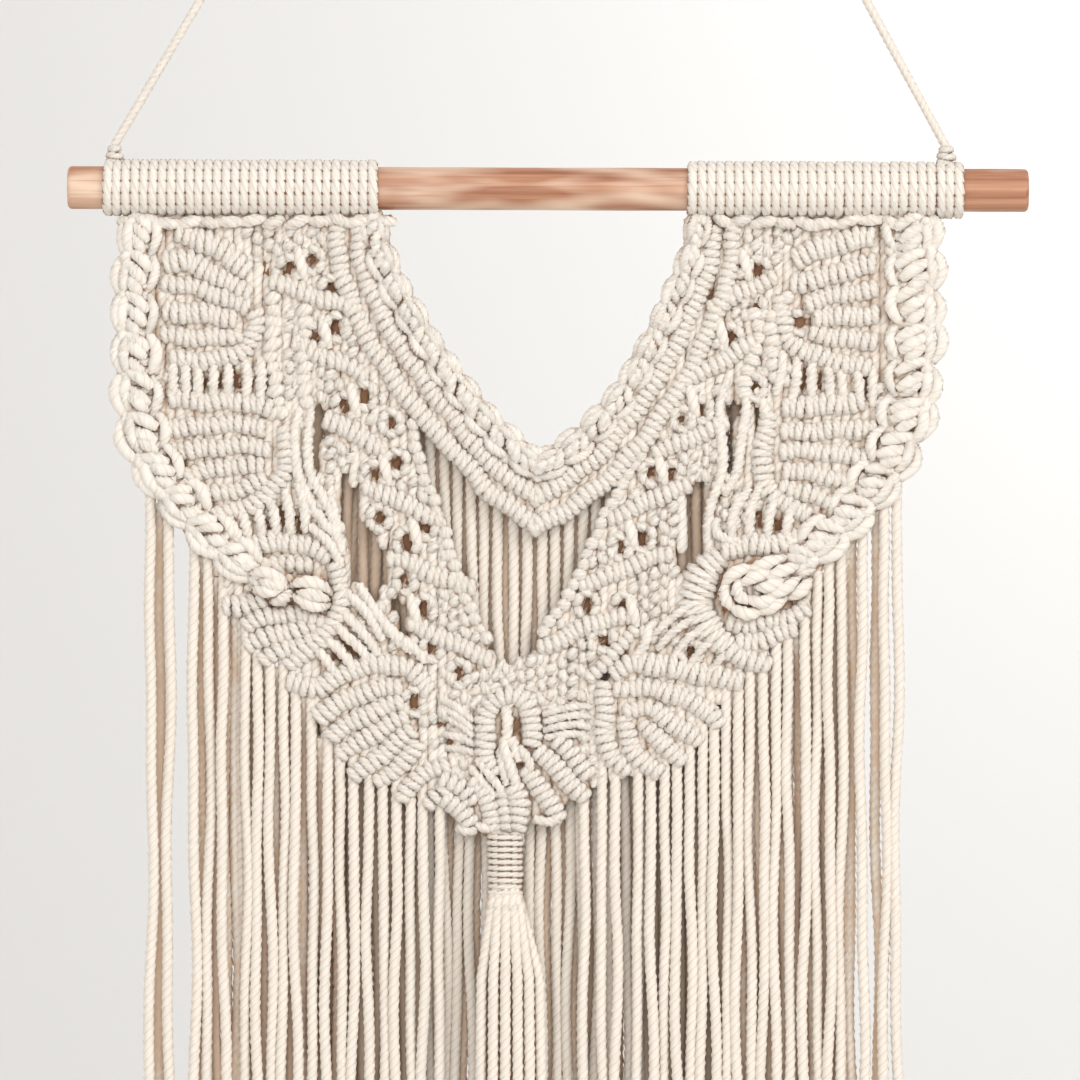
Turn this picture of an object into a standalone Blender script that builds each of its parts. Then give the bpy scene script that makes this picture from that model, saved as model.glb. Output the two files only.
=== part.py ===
"""Macrame wall hanging: cotton cord knotted into a V-necked panel on a wooden dowel.

Tables are in millimetres: x to the right of the middle, d downward from the dowel's axis.
The origin is where the hanging cord bears on its wall hook, the front faces -Y.
"""
import math

import bmesh
import bpy
from mathutils import Vector

MM = 0.001
ROD_DROP = 270.0            # hook to dowel axis
ROD_RADIUS = 7.5
ROD_LEFT = -167.7
ROD_RIGHT = 168.4
ROD_TILT = math.radians(0.18)
ROD_EDGE = 1.6              # rounding of the dowel's ends
CORD_RADIUS = 1.7
CORD_STEP = 10.0
HOOK_BEND = 5.0             # how far the bend over the hook reaches down each leg
FIT = 0.3                   # clearance between pieces that touch
SLEEVE_OUT = 10.2
SLEEVE_GROOVE = 0.7
WEB_HALF = 2.2              # half thickness of the strands' web between the bars
FRINGE_HALF = 1.85
FRINGE_END = 397.0
BAR_Y = -1.1
BAR_DEEP = 3.6
BAR_PITCH = 8.4
BAR_SIDES = 6
BACK_Y = 5.6
REAR_Y = 4.6

CREAM = (0.80, 0.745, 0.66)
WOOD = (0.52, 0.285, 0.16)

# name: (left x, right x, turns)
SLEEVES = {
    "mounting_left": (-148.7, -59.6, 14),
    "mounting_right": (49.6, 135.7, 14),
}
# name: (left x, right x, turns, knot x, knot d, knot half width, knot half height)
CORD_KNOTS = {
    "cord_knot_left": (-155.2, -149.1, 2, -151.5, -11.8, 3.2, 3.1),
    "cord_knot_right": (136.1, 145.5, 3, 139.6, -11.5, 3.4, 3.0),
}
KNOT_DEEP = 3.3

# panel bars: style, then rows of (x, d, width)
OUTER = "outer"
NECK = "neck"
BAR = "bar"
# style: (pitch, ring factors, half depth, y, sides)
STYLES = {
    OUTER: (13.0, (0.80, 1.0, 1.0), 4.8, -2.3, 8),
    NECK: (9.5, (0.82, 1.0, 1.0), 4.0, -1.4, 6),
    BAR: (BAR_PITCH, (0.86, 1.0), BAR_DEEP, BAR_Y, BAR_SIDES),
}
LEFT_BARS = [
    (OUTER, [(-142, 9.5, 11), (-143.5, 22, 12), (-144, 36, 12), (-144, 50, 13), (-142.5, 64, 15),
             (-142, 76, 15.5), (-139.5, 88, 15.5), (-134.5, 99, 15), (-127, 109, 15.5),
             (-119.5, 119, 16), (-111, 128, 16), (-101, 134.5, 15.5), (-90, 138.5, 15.5),
             (-79, 140.5, 12)]),
    (NECK, [(-61, 9.5, 8), (-60, 20, 9), (-56, 30, 9.5), (-51, 40, 9.5), (-44.5, 50, 9.5),
            (-38.5, 60, 9.5), (-33, 68, 9.5), (-25, 77, 9.5), (-17, 85.5, 10), (-9, 92, 10),
            (-1, 95.5, 10)]),
    (BAR, [(-67.5, 24, 7.4), (-60, 42, 7.6), (-50, 57.5, 7.6), (-40, 73, 7.6), (-30, 85.5, 7.6),
           (-20, 96.5, 7.6), (-10, 103, 7.6), (-1, 106, 7.6)]),
    (BAR, [(-73, 32, 7), (-64, 52, 7.4), (-50, 72, 7.4), (-40, 85.5, 7.4), (-30, 96.5, 7.4),
           (-20, 107, 7.4), (-10, 113.5, 7.4), (-1, 116, 7.4)]),
    (BAR, [(-95.2, 32, 8), (-78.8, 38, 8), (-67.6, 41, 7)]),
    (BAR, [(-86.8, 54, 8), (-73.2, 59, 8), (-61.6, 66.5, 7)]),
    (BAR, [(-76.7, 79.5, 8), (-67.6, 85, 8), (-57.4, 90, 7)]),
    (BAR, [(-63.5, 104.5, 7), (-50.8, 109.2, 8), (-37.1, 116.2, 7)]),
    (BAR, [(-54, 129.5, 7), (-39.6, 135, 8), (-26.6, 139, 7)]),
    (BAR, [(-47.3, 153, 7), (-35.7, 158, 8), (-20, 164, 7)]),
    (BAR, [(-132, 21.5, 7), (-122, 26, 7.6), (-112, 31, 7.6), (-104, 36, 7)]),
    (BAR, [(-136, 42.5, 7), (-125, 44, 7.6), (-110, 43.5, 7)]),
    (BAR, [(-101.5, 42, 6), (-101.5, 50, 7), (-107, 56.5, 7.6), (-118, 59, 7), (-130, 60.5, 6)]),
    (BAR, [(-130, 82, 7), (-118, 82.5, 7.6), (-100, 82.5, 7.4)]),
    (BAR, [(-127, 98, 7), (-118, 98.5, 7.6), (-103, 97, 7)]),
    (BAR, [(-93.5, 84, 6), (-91.5, 92, 7), (-93, 100, 7.6), (-98, 106.5, 7.6), (-108, 111.5, 6)]),
    (BAR, [(-102, 160, 6), (-93, 155, 7.4), (-83, 150, 7.4), (-75.5, 145, 7)]),
    (BAR, [(-87, 175, 6), (-78.8, 174, 7), (-67.2, 166, 8), (-55.3, 165.4, 8), (-47, 169, 8),
           (-41, 175.4, 8), (-39.5, 183.4, 8), (-42.5, 192.2, 8), (-48.7, 201, 7)]),
    (BAR, [(-77, 190, 7), (-66, 184, 8), (-50, 181, 7)]),
    (BAR, [(-66, 203, 7), (-57, 195, 8), (-49, 190, 7)]),
]
RIGHT_BARS = [
    (OUTER, [(128, 9.5, 17), (127.5, 24, 18.5), (127.8, 38, 19.5), (128, 52, 19.5), (127.5, 64, 19.5),
             (126, 76, 19.5), (122.5, 88, 19), (117.5, 98, 18), (109.5, 107, 17),
             (101, 115.5, 16), (92, 126, 16), (84, 134.5, 17), (74, 139.5, 17), (63.5, 141, 15)]),
    (NECK, [(54, 9.5, 7), (52.5, 20, 7), (48.7, 31, 7.5), (44.5, 41, 8), (39.5, 51, 8.5),
            (35, 60, 9), (30, 69.5, 9), (22, 79.5, 9.5), (13, 87.5, 10), (5, 93, 10),
            (-5, 95.5, 10)]),
    (BAR, [(56.5, 25, 7), (53.5, 36, 7), (49, 46, 7), (44.5, 56, 7), (39.5, 67, 7.4), (30, 84.5, 7.6),
           (20, 94, 7.6), (10, 101.5, 7.6), (0, 105.8, 7.6), (-5, 106, 7.6)]),
    (BAR, [(38, 83, 6), (28, 96.5, 7.4), (20, 103.8, 7.4), (10, 110.8, 7.4), (0, 116, 7.4),
           (-5, 116, 7.4)]),
    (BAR, [(79.5, 31.5, 7), (68, 36.5, 8), (57, 41.5, 7)]),
    (BAR, [(72, 54.5, 7), (58, 61, 8), (46, 69, 7)]),
    (BAR, [(61.5, 82, 7), (51, 87, 8), (37, 92, 7)]),
    (BAR, [(48.5, 104, 7), (36, 109.5, 8), (22.5, 115, 7)]),
    (BAR, [(42, 128, 7), (27, 133, 8), (12, 138, 7)]),
    (BAR, [(28, 150, 7), (14, 152.5, 8), (2, 158, 7)]),
    (BAR, [(87, 33.5, 7), (97, 30, 7.6), (105, 27.5, 7.6), (115, 25, 7)]),
    (BAR, [(93, 45, 7), (104, 44.5, 7.6), (115, 44, 7)]),
    (BAR, [(81, 42, 6), (84, 52, 7), (92, 57, 7.6), (103, 60.5, 7.6), (111, 63.5, 6)]),
    (BAR, [(84, 84, 7), (96, 84.5, 7.6), (110, 84, 7)]),
    (BAR, [(83, 98, 7), (93, 100, 7.6), (103, 102.5, 7)]),
    (BAR, [(74, 86.8, 6), (74.3, 96.6, 7), (80.5, 106, 7.6), (90, 112.5, 7)]),
    (BAR, [(53, 143, 6), (56, 151, 8), (64.4, 159, 8), (74, 165, 7)]),
    (BAR, [(33, 164, 7), (47, 167.5, 8), (62, 173, 7)]),
    (BAR, [(31, 177.5, 7), (41, 182.5, 8), (51, 189.5, 7)]),
    (BAR, [(20, 176, 7), (19.5, 186, 8), (22, 196, 8), (31, 203, 7)]),
]
MOTIF_BARS = [
    (BAR, [(-20.5, 202, 7), (-24.2, 195, 7), (-24, 186, 7), (-19, 181.8, 6.5), (-12.5, 181.5, 6.5),
           (-5, 182.5, 7), (-1.8, 189, 7), (-2.6, 197, 7)]),
    (BAR, [(-28, 206, 7), (-22, 204.5, 7), (-16, 207, 7)]),
    (BAR, [(-27, 220.5, 6), (-21, 214.5, 7), (-15, 213, 6)]),
    (BAR, [(1.2, 218.5, 6), (-3, 211, 7.6), (-8, 203.5, 7)]),
    (BAR, [(11.5, 212.5, 6), (5.5, 206.5, 7.6), (-1, 200, 7)]),
]

# outlines of the strands' web: corners as x, d
LEFT_WEB = [
    (-137, 9.5), (-64, 9.5), (-60, 20), (-51, 40), (-38.5, 60), (-25, 77), (-9, 92), (-3.45, 95),
    (-3.45, 116), (-10, 113.5), (-20, 107), (-30, 97), (-40, 86), (-47, 79), (-44, 96), (-38, 111),
    (-33, 129), (-26, 151), (-20, 161), (-13.45, 166), (-13.45, 178.2), (-31.3, 178.2),
    (-31.3, 226), (-60, 222), (-110, 180), (-140, 110), (-141, 96),
]
RIGHT_WEB = [
    (-3.15, 95.5), (5, 93), (22, 79.5), (35, 60), (44.5, 41), (52.5, 20), (54.5, 9.5), (120, 9.5),
    (121, 96), (118, 115), (98, 150), (60, 205), (15.3, 220), (15.3, 178.2),
    (-13.15, 178.2), (-13.15, 166), (-2, 160), (8, 141), (17, 123), (20, 112), (28, 101), (35, 91),
    (36, 84), (28, 97), (20, 104), (10, 111), (-3.15, 116),
]
MOTIF_WEB = [
    (-31, 178.5), (15, 178.5), (15, 214), (8, 217.5), (0, 222.5), (-8, 225.2), (-24, 225), (-31, 223.8),
]

# openings over 4 mm, cut right through: corners as x, d
LEFT_SLOTS = [
    [(-82.5, 76), (-78.5, 76), (-77, 79), (-77, 86), (-79, 90), (-80, 99.5), (-81.5, 99.5)],
    [(-73.8, 101), (-69.5, 100), (-64.5, 110), (-64, 117), (-58.6, 122), (-56, 129), (-55.8, 136),
     (-60.5, 145.5), (-64.5, 142.5), (-69.5, 132.5), (-71.5, 117)],
    [(-54, 144.5), (-50.5, 144.5), (-48.6, 155.5), (-52.6, 153)],
]
RIGHT_SLOTS = [
    [(61.8, 76.5), (68, 76.5), (66.5, 82), (65.5, 97), (63.5, 101), (62.5, 93)],
    [(71.5, 77.5), (75, 77.5), (75, 84), (70.8, 89.5)],
    [(50.2, 103.5), (55, 103), (54.8, 128.5), (51.5, 131.5), (46, 135), (47.5, 121)],
    [(24.5, 161), (27.5, 161.5), (26, 167), (16.5, 175.5), (17, 171.5), (23, 167.5)],
]
# eyelets of the net and the fans' ladder rows: x, d, width, height, lean in degrees
LEFT_EYES = [
    (-90, 28, 2.6, 4.6, -15), (-82, 25, 2.6, 4.4, 0), (-98.5, 28, 1.8, 5.5, 18), (-81.8, 52, 3.4, 5.2, -15),
    (-73.6, 48.5, 3.6, 4.6, 0), (-75.5, 35, 2.6, 4.4, 0), (-71, 76.5, 2.8, 5.6, 20),
    (-64, 72.3, 3.6, 5.0, 0), (-60.3, 100, 2.8, 4.4, 15), (-52.7, 96, 3.2, 4.4, 0),
    (-49, 123.5, 3.0, 5.2, 20), (-42.6, 117.5, 3.2, 5.6, 0), (-43, 147, 2.6, 5.6, 0),
    (-49.5, 136.8, 2.4, 4.6, 30), (-119.6, 68, 2.2, 4.4, 0),
    (-114, 67, 1.8, 5.2, 0), (-108.6, 67, 2.4, 6.4, 8), (-97.7, 66.5, 2.4, 4.6, 0),
    (-97.4, 117.5, 1.8, 5.6, 10), (-92.6, 114.5, 3.0, 8.4, 20),
    (-87, 117, 2.2, 6.4, 15), (-68, 160.5, 3.0, 5.6, 45), (-73, 163.5, 2.0, 5.2, 38),
    (-46.4, 179.5, 3.0, 4.8, 10), (-33.4, 194.3, 3.0, 4.8, 50), (-36.6, 187.2, 2.2, 4.4, 70),
    (-30.8, 169.5, 2.4, 5.0, 15),
]
RIGHT_EYES = [
    (65.5, 27, 2.6, 4.4, -10), (74, 28.5, 3.0, 4.6, -30), 
    (56.7, 37.3, 2.2, 4.6, -20), (72.5, 42, 2.8, 4.8, -25), (78, 49, 1.8, 8.4, -3),
    (56.5, 51.5, 2.6, 4.4, -15), (64.3, 52.7, 3.2, 5.4, -15), (73.5, 56, 2.4, 12, -2),
    (80, 66, 2.4, 4.0, -20), (72.6, 69.5, 2.6, 4.2, 15), (90, 66, 2.0, 7.6, -5), (95.5, 67, 1.8, 5.4, -10),
    (112.5, 68.5, 1.8, 8.4, 0), (53.8, 77.5, 2.8, 4.2, 0), 
    (43.8, 99.8, 2.8, 4.2, -15), (33.2, 122.3, 3.2, 4.6, -10),
    (58.5, 108.5, 1.6, 9.6, -4), (74.8, 115.5, 2.4, 7.6, 0),
    (81, 117.5, 2.4, 5.6, -12), (88, 46.8, 4.4, 3.4, 0),
    (50.3, 162, 2.6, 4.0, -20),
    (19.8, 158.2, 5.0, 2.6, -60),
]
MOTIF_EYES = [
    (-13.4, 186.2, 2.6, 4.4, 0), (-10.8, 187.5, 2.2, 5.4, 8), (-18.3, 191, 2.0, 6.2, 4),
]

# lower edges of the cloth, where the fringe is rooted: rows of (x, d)
LEFT_EDGE = [
    (-142.4, 101.3), (-138.5, 106.8), (-133.5, 112.8), (-127, 121.5), (-120, 130), (-114, 138),
    (-109.5, 148.5), (-105.5, 158), (-98, 165.5), (-89, 171.5), (-84, 179), (-80.5, 190.5),
    (-73, 200), (-66, 207), (-54, 211), (-46, 217.5), (-36, 221), (-27.5, 226),
]
RIGHT_EDGE = [
    (9, 219), (17, 213.5), (27, 209.2), (40, 206.5), (49, 200), (57, 190.5), (64.5, 177), (73, 167.5),
    (83, 159.5), (90.5, 149.5), (95, 139), (98.5, 130), (106, 121), (114, 113.4), (121, 108.6),
    (126.2, 102.5),
]
BACK_STRIP = [(-73.5, 34), (-64, 52), (-50, 72), (-40, 85.5), (-30, 96.5), (-20, 107), (-9, 114),
              (-3, 116), (3, 115), (10, 111), (20, 104), (28, 96.5), (38, 83), (46, 66), (56, 46),
              (66, 30)]
BACK_STRIP_Y = 4.4
STRIP_HALF = 1.7
STRIP_STEP = 9.0

# fringe strands by the x of their ends; front row, then rear row
LEFT_FRONT = [-138.7, -132.4, -123.5, -118.5, -113.2, -105.6, -101.2, -96.8, -92.3, -87.8, -82.4,
              -76.8, -72.3, -67.7, -62.4, -57.4, -52.6, -47.9, -43.4, -37.4]
LEFT_REAR = [-135.6, -115.9, -109.2, -103.4, -94.7, -90.1, -85.1, -79.4]
RIGHT_FRONT = [13.0, 19.3, 23.7, 32.0, 36.4, 41.0, 45.6, 50.0, 54.4, 58.6, 62.7, 66.8, 71.1, 75.6,
               80.1, 84.4, 90.2, 94.5, 98.7, 103.0, 110.3, 118.1, 122.4]
RIGHT_REAR = [73.3, 77.8, 82.2, 87.3, 92.3, 96.6, 106.7, 115.6]
BACK_STRANDS = [-69.6, -64.9, -60.2, -55.5, -50.8, -46.1, -40.9, -35.9, -31.4, -26.6, -22.0, -17.4,
                -11.6, -6.8, -1.8, 2.9, 7.7, 12.5, 17.3, 22.1, 27.8, 32.8, 37.6, 42.4, 47.2, 52.0,
                56.8, 61.6]

TASSEL_X = -14.7
TASSEL_Y = -5.2
TASSEL_TOP = 225.6
TASSEL_FOOT = 246.4
TASSEL_HALF = 6.7
TASSEL_DEEP = 5.6
TASSEL_WRAP = 4.0
# strands of the tassel: x and y at the wrap, x and y at the end
TASSEL_STRANDS = [
    (-19.2, -8.2, -24.0, -7.4), (-17.2, -9.2, -19.2, -9.4), (-14.4, -9.6, -14.6, -10.0),
    (-11.6, -9.2, -9.9, -9.6), (-9.8, -8.0, -5.2, -8.8), (-9.2, -5.6, -0.6, -6.6),
    (-19.8, -5.0, -21.8, -2.8), (-17.0, -3.0, -17.2, -3.6), (-14.6, -2.6, -12.4, -3.4),
    (-12.2, -3.0, -7.6, -2.8), (-9.6, -3.4, -2.9, -2.2),
]


def place(x, y, d):
    """Table millimetres to metres in the model's frame."""
    return Vector((x * MM, y * MM, -(ROD_DROP + d) * MM))


def between(rows, x):
    """Second column of a table at x, read straight between its rows."""
    for (x0, d0), (x1, d1) in zip(rows, rows[1:]):
        if x0 <= x <= x1:
            return d0 + (d1 - d0) * (x - x0) / (x1 - x0)
    return rows[0][1] if x < rows[0][0] else rows[-1][1]


def smooth(rows, step):
    """Evenly spaced samples of a smooth curve through the rows; extra columns follow along."""
    rows = [Vector(row) for row in rows]
    ends = [rows[0] * 2 - rows[1]] + rows + [rows[-1] * 2 - rows[-2]]
    fine = []
    for a, b, c, e in zip(ends, ends[1:], ends[2:], ends[3:]):
        for k in range(12):
            t = k / 12
            fine.append(0.5 * (2 * b + (c - a) * t + (2 * a - 5 * b + 4 * c - e) * t * t
                               + (3 * b - a - 3 * c + e) * t ** 3))
    fine.append(rows[-1])
    reach = [0.0]
    for a, b in zip(fine, fine[1:]):
        reach.append(reach[-1] + (b - a).xy.length)
    count = max(2, round(reach[-1] / step))
    samples = []
    k = 0
    for i in range(count + 1):
        target = reach[-1] * i / count
        while k < len(fine) - 2 and reach[k + 1] < target:
            k += 1
        t = (target - reach[k]) / max(reach[k + 1] - reach[k], 1e-9)
        samples.append(fine[k].lerp(fine[k + 1], min(t, 1.0)))
    return samples


def aside(rows, shift):
    """The rows moved to the outer side of a lower edge that runs left to right."""
    moved = []
    for k, (x, d) in enumerate(rows):
        before = rows[max(k - 1, 0)]
        after = rows[min(k + 1, len(rows) - 1)]
        along = Vector((after[0] - before[0], after[1] - before[1])).normalized()
        moved.append((x - along.y * shift, d + along.x * shift))
    return moved


def even(edge, step):
    """A lower edge's rows, smoothed and evenly spaced."""
    return [(point.x, point.y) for point in smooth([(x, d, 0) for x, d in edge], step)]


def below(edge):
    """Corners of all that lies under a lower edge, with the fringe strip's clearance."""
    path = aside(even(edge, STRIP_STEP), -FIT)
    return path + [(path[-1][0], 260), (path[0][0], 260)]


def above_top():
    """Corners of all that lies over the panel's top, level with the dowel."""
    low = SLEEVE_OUT + FIT
    return [(x, low + x * math.tan(ROD_TILT)) for x in (-170, 170)] + [(170, -20), (-170, -20)]


def skin(bm, rings):
    """Close a run of equal rings of points into one solid."""
    loops = [[bm.verts.new(point) for point in ring] for ring in rings]
    size = len(loops[0])
    for lower, upper in zip(loops, loops[1:]):
        for k in range(size):
            bm.faces.new((lower[k], lower[(k + 1) % size], upper[(k + 1) % size], upper[k]))
    bm.faces.new(loops[0])
    bm.faces.new(loops[-1])


def ridged_bar(bm, style, rows):
    """A bar of half hitches: a flattened tube with a ridge for each turn."""
    pitch, factors, deep, y, sides = STYLES[style]
    path = smooth(rows, pitch / len(factors))
    rings = []
    for i, here in enumerate(path):
        ahead = path[min(i + 1, len(path) - 1)]
        behind = path[max(i - 1, 0)]
        along = (ahead - behind).xy.normalized()
        factor = factors[i % len(factors)]
        if i in (0, len(path) - 1):
            factor *= 0.9
        ring = []
        for k in range(sides):
            angle = math.tau * k / sides
            across = math.cos(angle) * factor * here[2] / 2
            out = math.sin(angle) * factor * deep
            ring.append(place(here[0] - along.y * across, y + out, here[1] + along.x * across))
        rings.append(ring)
    skin(bm, rings)


def strand(bm, rows, half, deep):
    """A four-sided strand through rows of (x, y, d)."""
    rings = []
    for x, y, d in rows:
        rings.append([place(x - half, y, d), place(x, y - deep, d),
                      place(x + half, y, d), place(x, y + deep, d)])
    skin(bm, rings)


def prism(bm, corners, near, far):
    """An upright opening's cutter from its corners (x, d)."""
    skin(bm, [[place(x, near, d) for x, d in corners], [place(x, far, d) for x, d in corners]])


def eyelet(bm, x, d, width, height, lean):
    """A four-cornered cutter, leaning to the right by lean degrees."""
    lean = math.radians(lean)
    corners = []
    for across, down in ((-0.4, -0.45), (0.45, -0.4), (0.4, 0.45), (-0.45, 0.4)):
        u = across * width
        v = down * height
        corners.append((x + u * math.cos(lean) + v * math.sin(lean),
                        d - u * math.sin(lean) + v * math.cos(lean)))
    prism(bm, corners, -12, 12)


def cloth(name, colour, roughness, metallic=0.0):
    """A plain surface for a piece."""
    surface = bpy.data.materials.new(name)
    surface.use_nodes = True
    shader = surface.node_tree.nodes["Principled BSDF"]
    shader.inputs["Base Color"].default_value = (*colour, 1.0)
    shader.inputs["Roughness"].default_value = roughness
    shader.inputs["Metallic"].default_value = metallic
    return surface


def add_object(name, bm, colour=CREAM, roughness=0.9):
    """Turn a bmesh into a named object with its own surface."""
    bmesh.ops.recalc_face_normals(bm, faces=bm.faces)
    mesh = bpy.data.meshes.new(name)
    bm.to_mesh(mesh)
    bm.free()
    obj = bpy.data.objects.new(name, mesh)
    bpy.context.collection.objects.link(obj)
    mesh.materials.append(cloth(name, colour, roughness))
    return obj


def add_boolean(obj, tool, operation):
    """Join or cut with a tool body."""
    modifier = obj.modifiers.new(tool.name, "BOOLEAN")
    modifier.operation = operation
    modifier.solver = "EXACT"
    modifier.use_self = True
    modifier.object = tool


def islands(bm):
    """The connected bodies of a mesh, largest volume first."""
    seen = set()
    found = []
    for face in bm.faces:
        if face in seen:
            continue
        seen.add(face)
        group = [face]
        for member in group:
            for edge in member.edges:
                for other in edge.link_faces:
                    if other not in seen:
                        seen.add(other)
                        group.append(other)
        volume = 0.0
        for member in group:
            corners = [vert.co for vert in member.verts]
            for b, c in zip(corners[1:], corners[2:]):
                volume += corners[0].dot(b.cross(c)) / 6
        found.append((volume, group))
    return sorted(found, key=lambda entry: -entry[0])


def settle(obj):
    """Fix the joined shape as one body: closed pockets are filled and crumbs go."""
    depsgraph = bpy.context.evaluated_depsgraph_get()
    mesh = bpy.data.meshes.new_from_object(obj.evaluated_get(depsgraph))
    bm = bmesh.new()
    bm.from_mesh(mesh)
    bodies = islands(bm)
    for volume, faces in bodies[1:]:
        bmesh.ops.delete(bm, geom=faces, context="FACES")
    bm.to_mesh(mesh)
    bm.free()
    tools = [modifier.object for modifier in obj.modifiers]
    obj.modifiers.clear()
    obj.data = mesh
    for tool in tools:
        bpy.data.objects.remove(tool, do_unlink=True)


def rod():
    """The dowel, turned a little out of level, with rounded ends."""
    bm = bmesh.new()
    bmesh.ops.create_cone(bm, cap_ends=True, segments=20, radius1=ROD_RADIUS * MM,
                          radius2=ROD_RADIUS * MM, depth=(ROD_RIGHT - ROD_LEFT) * MM)
    rims = [edge for edge in bm.edges if len({round(v.co.z, 6) for v in edge.verts}) == 1]
    bmesh.ops.bevel(bm, geom=rims, offset=ROD_EDGE * MM, segments=2, affect="EDGES")
    obj = add_object("rod", bm, WOOD, 0.6)
    obj.location = place((ROD_LEFT + ROD_RIGHT) / 2, 0, 0)
    obj.rotation_euler = (0, math.pi / 2 + ROD_TILT, 0)


def turns(bm, left, right, count, sides=10):
    """A ridged sleeve of cord turns round the dowel, bored to clear it."""
    bore = ROD_RADIUS + FIT
    profile = [(left, bore), (left, SLEEVE_OUT - SLEEVE_GROOVE)]
    pitch = (right - left) / count
    for k in range(count):
        profile.append((left + (k + 0.5) * pitch, SLEEVE_OUT))
        profile.append((left + (k + 1) * pitch, SLEEVE_OUT - SLEEVE_GROOVE))
    profile.append((right, bore))
    rings = []
    for x, radius in profile:
        radius /= math.cos(math.pi / sides)
        fall = x * math.tan(ROD_TILT)
        rings.append([bm.verts.new(place(x, radius * math.sin(math.tau * (k + 0.5) / sides),
                                         fall + radius * math.cos(math.tau * (k + 0.5) / sides)))
                      for k in range(sides)])
    for lower, upper in zip(rings, rings[1:] + rings[:1]):
        for k in range(sides):
            bm.faces.new((lower[k], lower[(k + 1) % sides], upper[(k + 1) % sides], upper[k]))


def lump(bm, x, d, half, high):
    """The knot that stands on the turns: a low rounded body."""
    size = Vector((half * MM, KNOT_DEEP * MM, high * MM))
    made = bmesh.ops.create_uvsphere(bm, u_segments=8, v_segments=6, radius=1.0)
    for vert in made["verts"]:
        vert.co = place(x, 0, d) + vert.co * size


def knots_on_rod():
    """The rows of lark's heads and the hanging cord's knots."""
    for name, (left, right, count) in SLEEVES.items():
        bm = bmesh.new()
        turns(bm, left, right, count)
        add_object(name, bm)
    for name, (left, right, count, x, d, half, high) in CORD_KNOTS.items():
        bm = bmesh.new()
        turns(bm, left, right, count)
        obj = add_object(name, bm)
        bump = bmesh.new()
        lump(bump, x, d, half, high)
        add_boolean(obj, add_object(name + "_lump", bump), "UNION")
        settle(obj)


def hanging_cord():
    """One cord from knot to knot over the hook."""
    route = []
    for name, side in (("cord_knot_left", -1), ("cord_knot_right", 1)):
        x, d, half, high = CORD_KNOTS[name][3:]
        knot = Vector((x, d))
        hook = Vector((0, -ROD_DROP - CORD_RADIUS))
        toward = (hook - knot).normalized()
        reach = 1 / math.hypot(toward.x / half, toward.y / high) + FIT
        start = knot + toward * reach
        bend = hook - toward * HOOK_BEND
        count = round((bend - start).length / CORD_STEP)
        leg = [start.lerp(bend, k / count) for k in range(count + 1)]
        route.append(leg)
    left_bend = route[0][-1]
    right_bend = route[1][-1]
    crown = Vector((0, -ROD_DROP - CORD_RADIUS))
    over = []
    for k in range(1, 6):
        t = k / 6
        over.append(left_bend.lerp(crown, t).lerp(crown.lerp(right_bend, t), t))
    points = route[0] + over + route[1][::-1]
    lift = crown.y - over[2].y
    curve = bpy.data.curves.new("hanging_cord", "CURVE")
    curve.dimensions = "3D"
    spline = curve.splines.new("POLY")
    spline.points.add(len(points) - 1)
    for k, point in enumerate(points):
        near_top = max(0.0, 1 - (point - crown).length / 60)
        spline.points[k].co = (*place(point.x, 0, point.y + lift * near_top), 1.0)
    curve.bevel_depth = CORD_RADIUS * MM
    curve.bevel_resolution = 2
    curve.use_fill_caps = True
    obj = bpy.data.objects.new("hanging_cord", curve)
    bpy.context.collection.objects.link(obj)
    curve.materials.append(cloth("hanging_cord", CREAM, 0.9))


def panel(name, outline, bars, slots, eyes, keep_out):
    """A web of strands fused by bars, with the openings cut."""
    bm = bmesh.new()
    prism(bm, outline, -WEB_HALF, WEB_HALF)
    obj = add_object(name, bm)
    bm = bmesh.new()
    for style, rows in bars:
        ridged_bar(bm, style, rows)
    add_boolean(obj, add_object(name + "_bars", bm), "UNION")
    bm = bmesh.new()
    for corners in slots + keep_out:
        prism(bm, corners, -12, 12)
    for x, d, width, height, lean in eyes:
        eyelet(bm, x, d, width, height, lean)
    add_boolean(obj, add_object(name + "_openings", bm), "DIFFERENCE")
    settle(obj)


def block(left, right, top, low):
    """Corners of an upright rectangle."""
    return [(left, top), (right, top), (right, low), (left, low)]


def fringe(name, edge, strip_y, groups):
    """Strands rooted in a narrow strip; each group gives its row's y, its root y and its x list."""
    path = even(edge, STRIP_STEP)
    strip = aside(path, STRIP_HALF)
    outer = aside(path, 2 * STRIP_HALF)
    bm = bmesh.new()
    skin(bm, [[place(a[0], strip_y, a[1]), place(b[0], strip_y - STRIP_HALF, b[1]),
               place(c[0], strip_y, c[1]), place(b[0], strip_y + STRIP_HALF, b[1])]
              for a, b, c in zip(path, strip, outer)])
    obj = add_object(name, bm)
    bm = bmesh.new()
    for row_y, root_y, places in groups:
        for k, x in enumerate(places):
            root = between(strip, x)
            sway = 0.2 * math.sin(2.1 * k + 0.6)
            deep = row_y + 0.45 * math.sin(1.7 * k)
            end = FRINGE_END + 1.6 * math.sin(2.7 * k + x)
            strand(bm, [(x - sway, root_y, root), (x, deep, end)], FRINGE_HALF, FRINGE_HALF)
    add_boolean(obj, add_object(name + "_strands", bm), "UNION")
    settle(obj)


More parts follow.
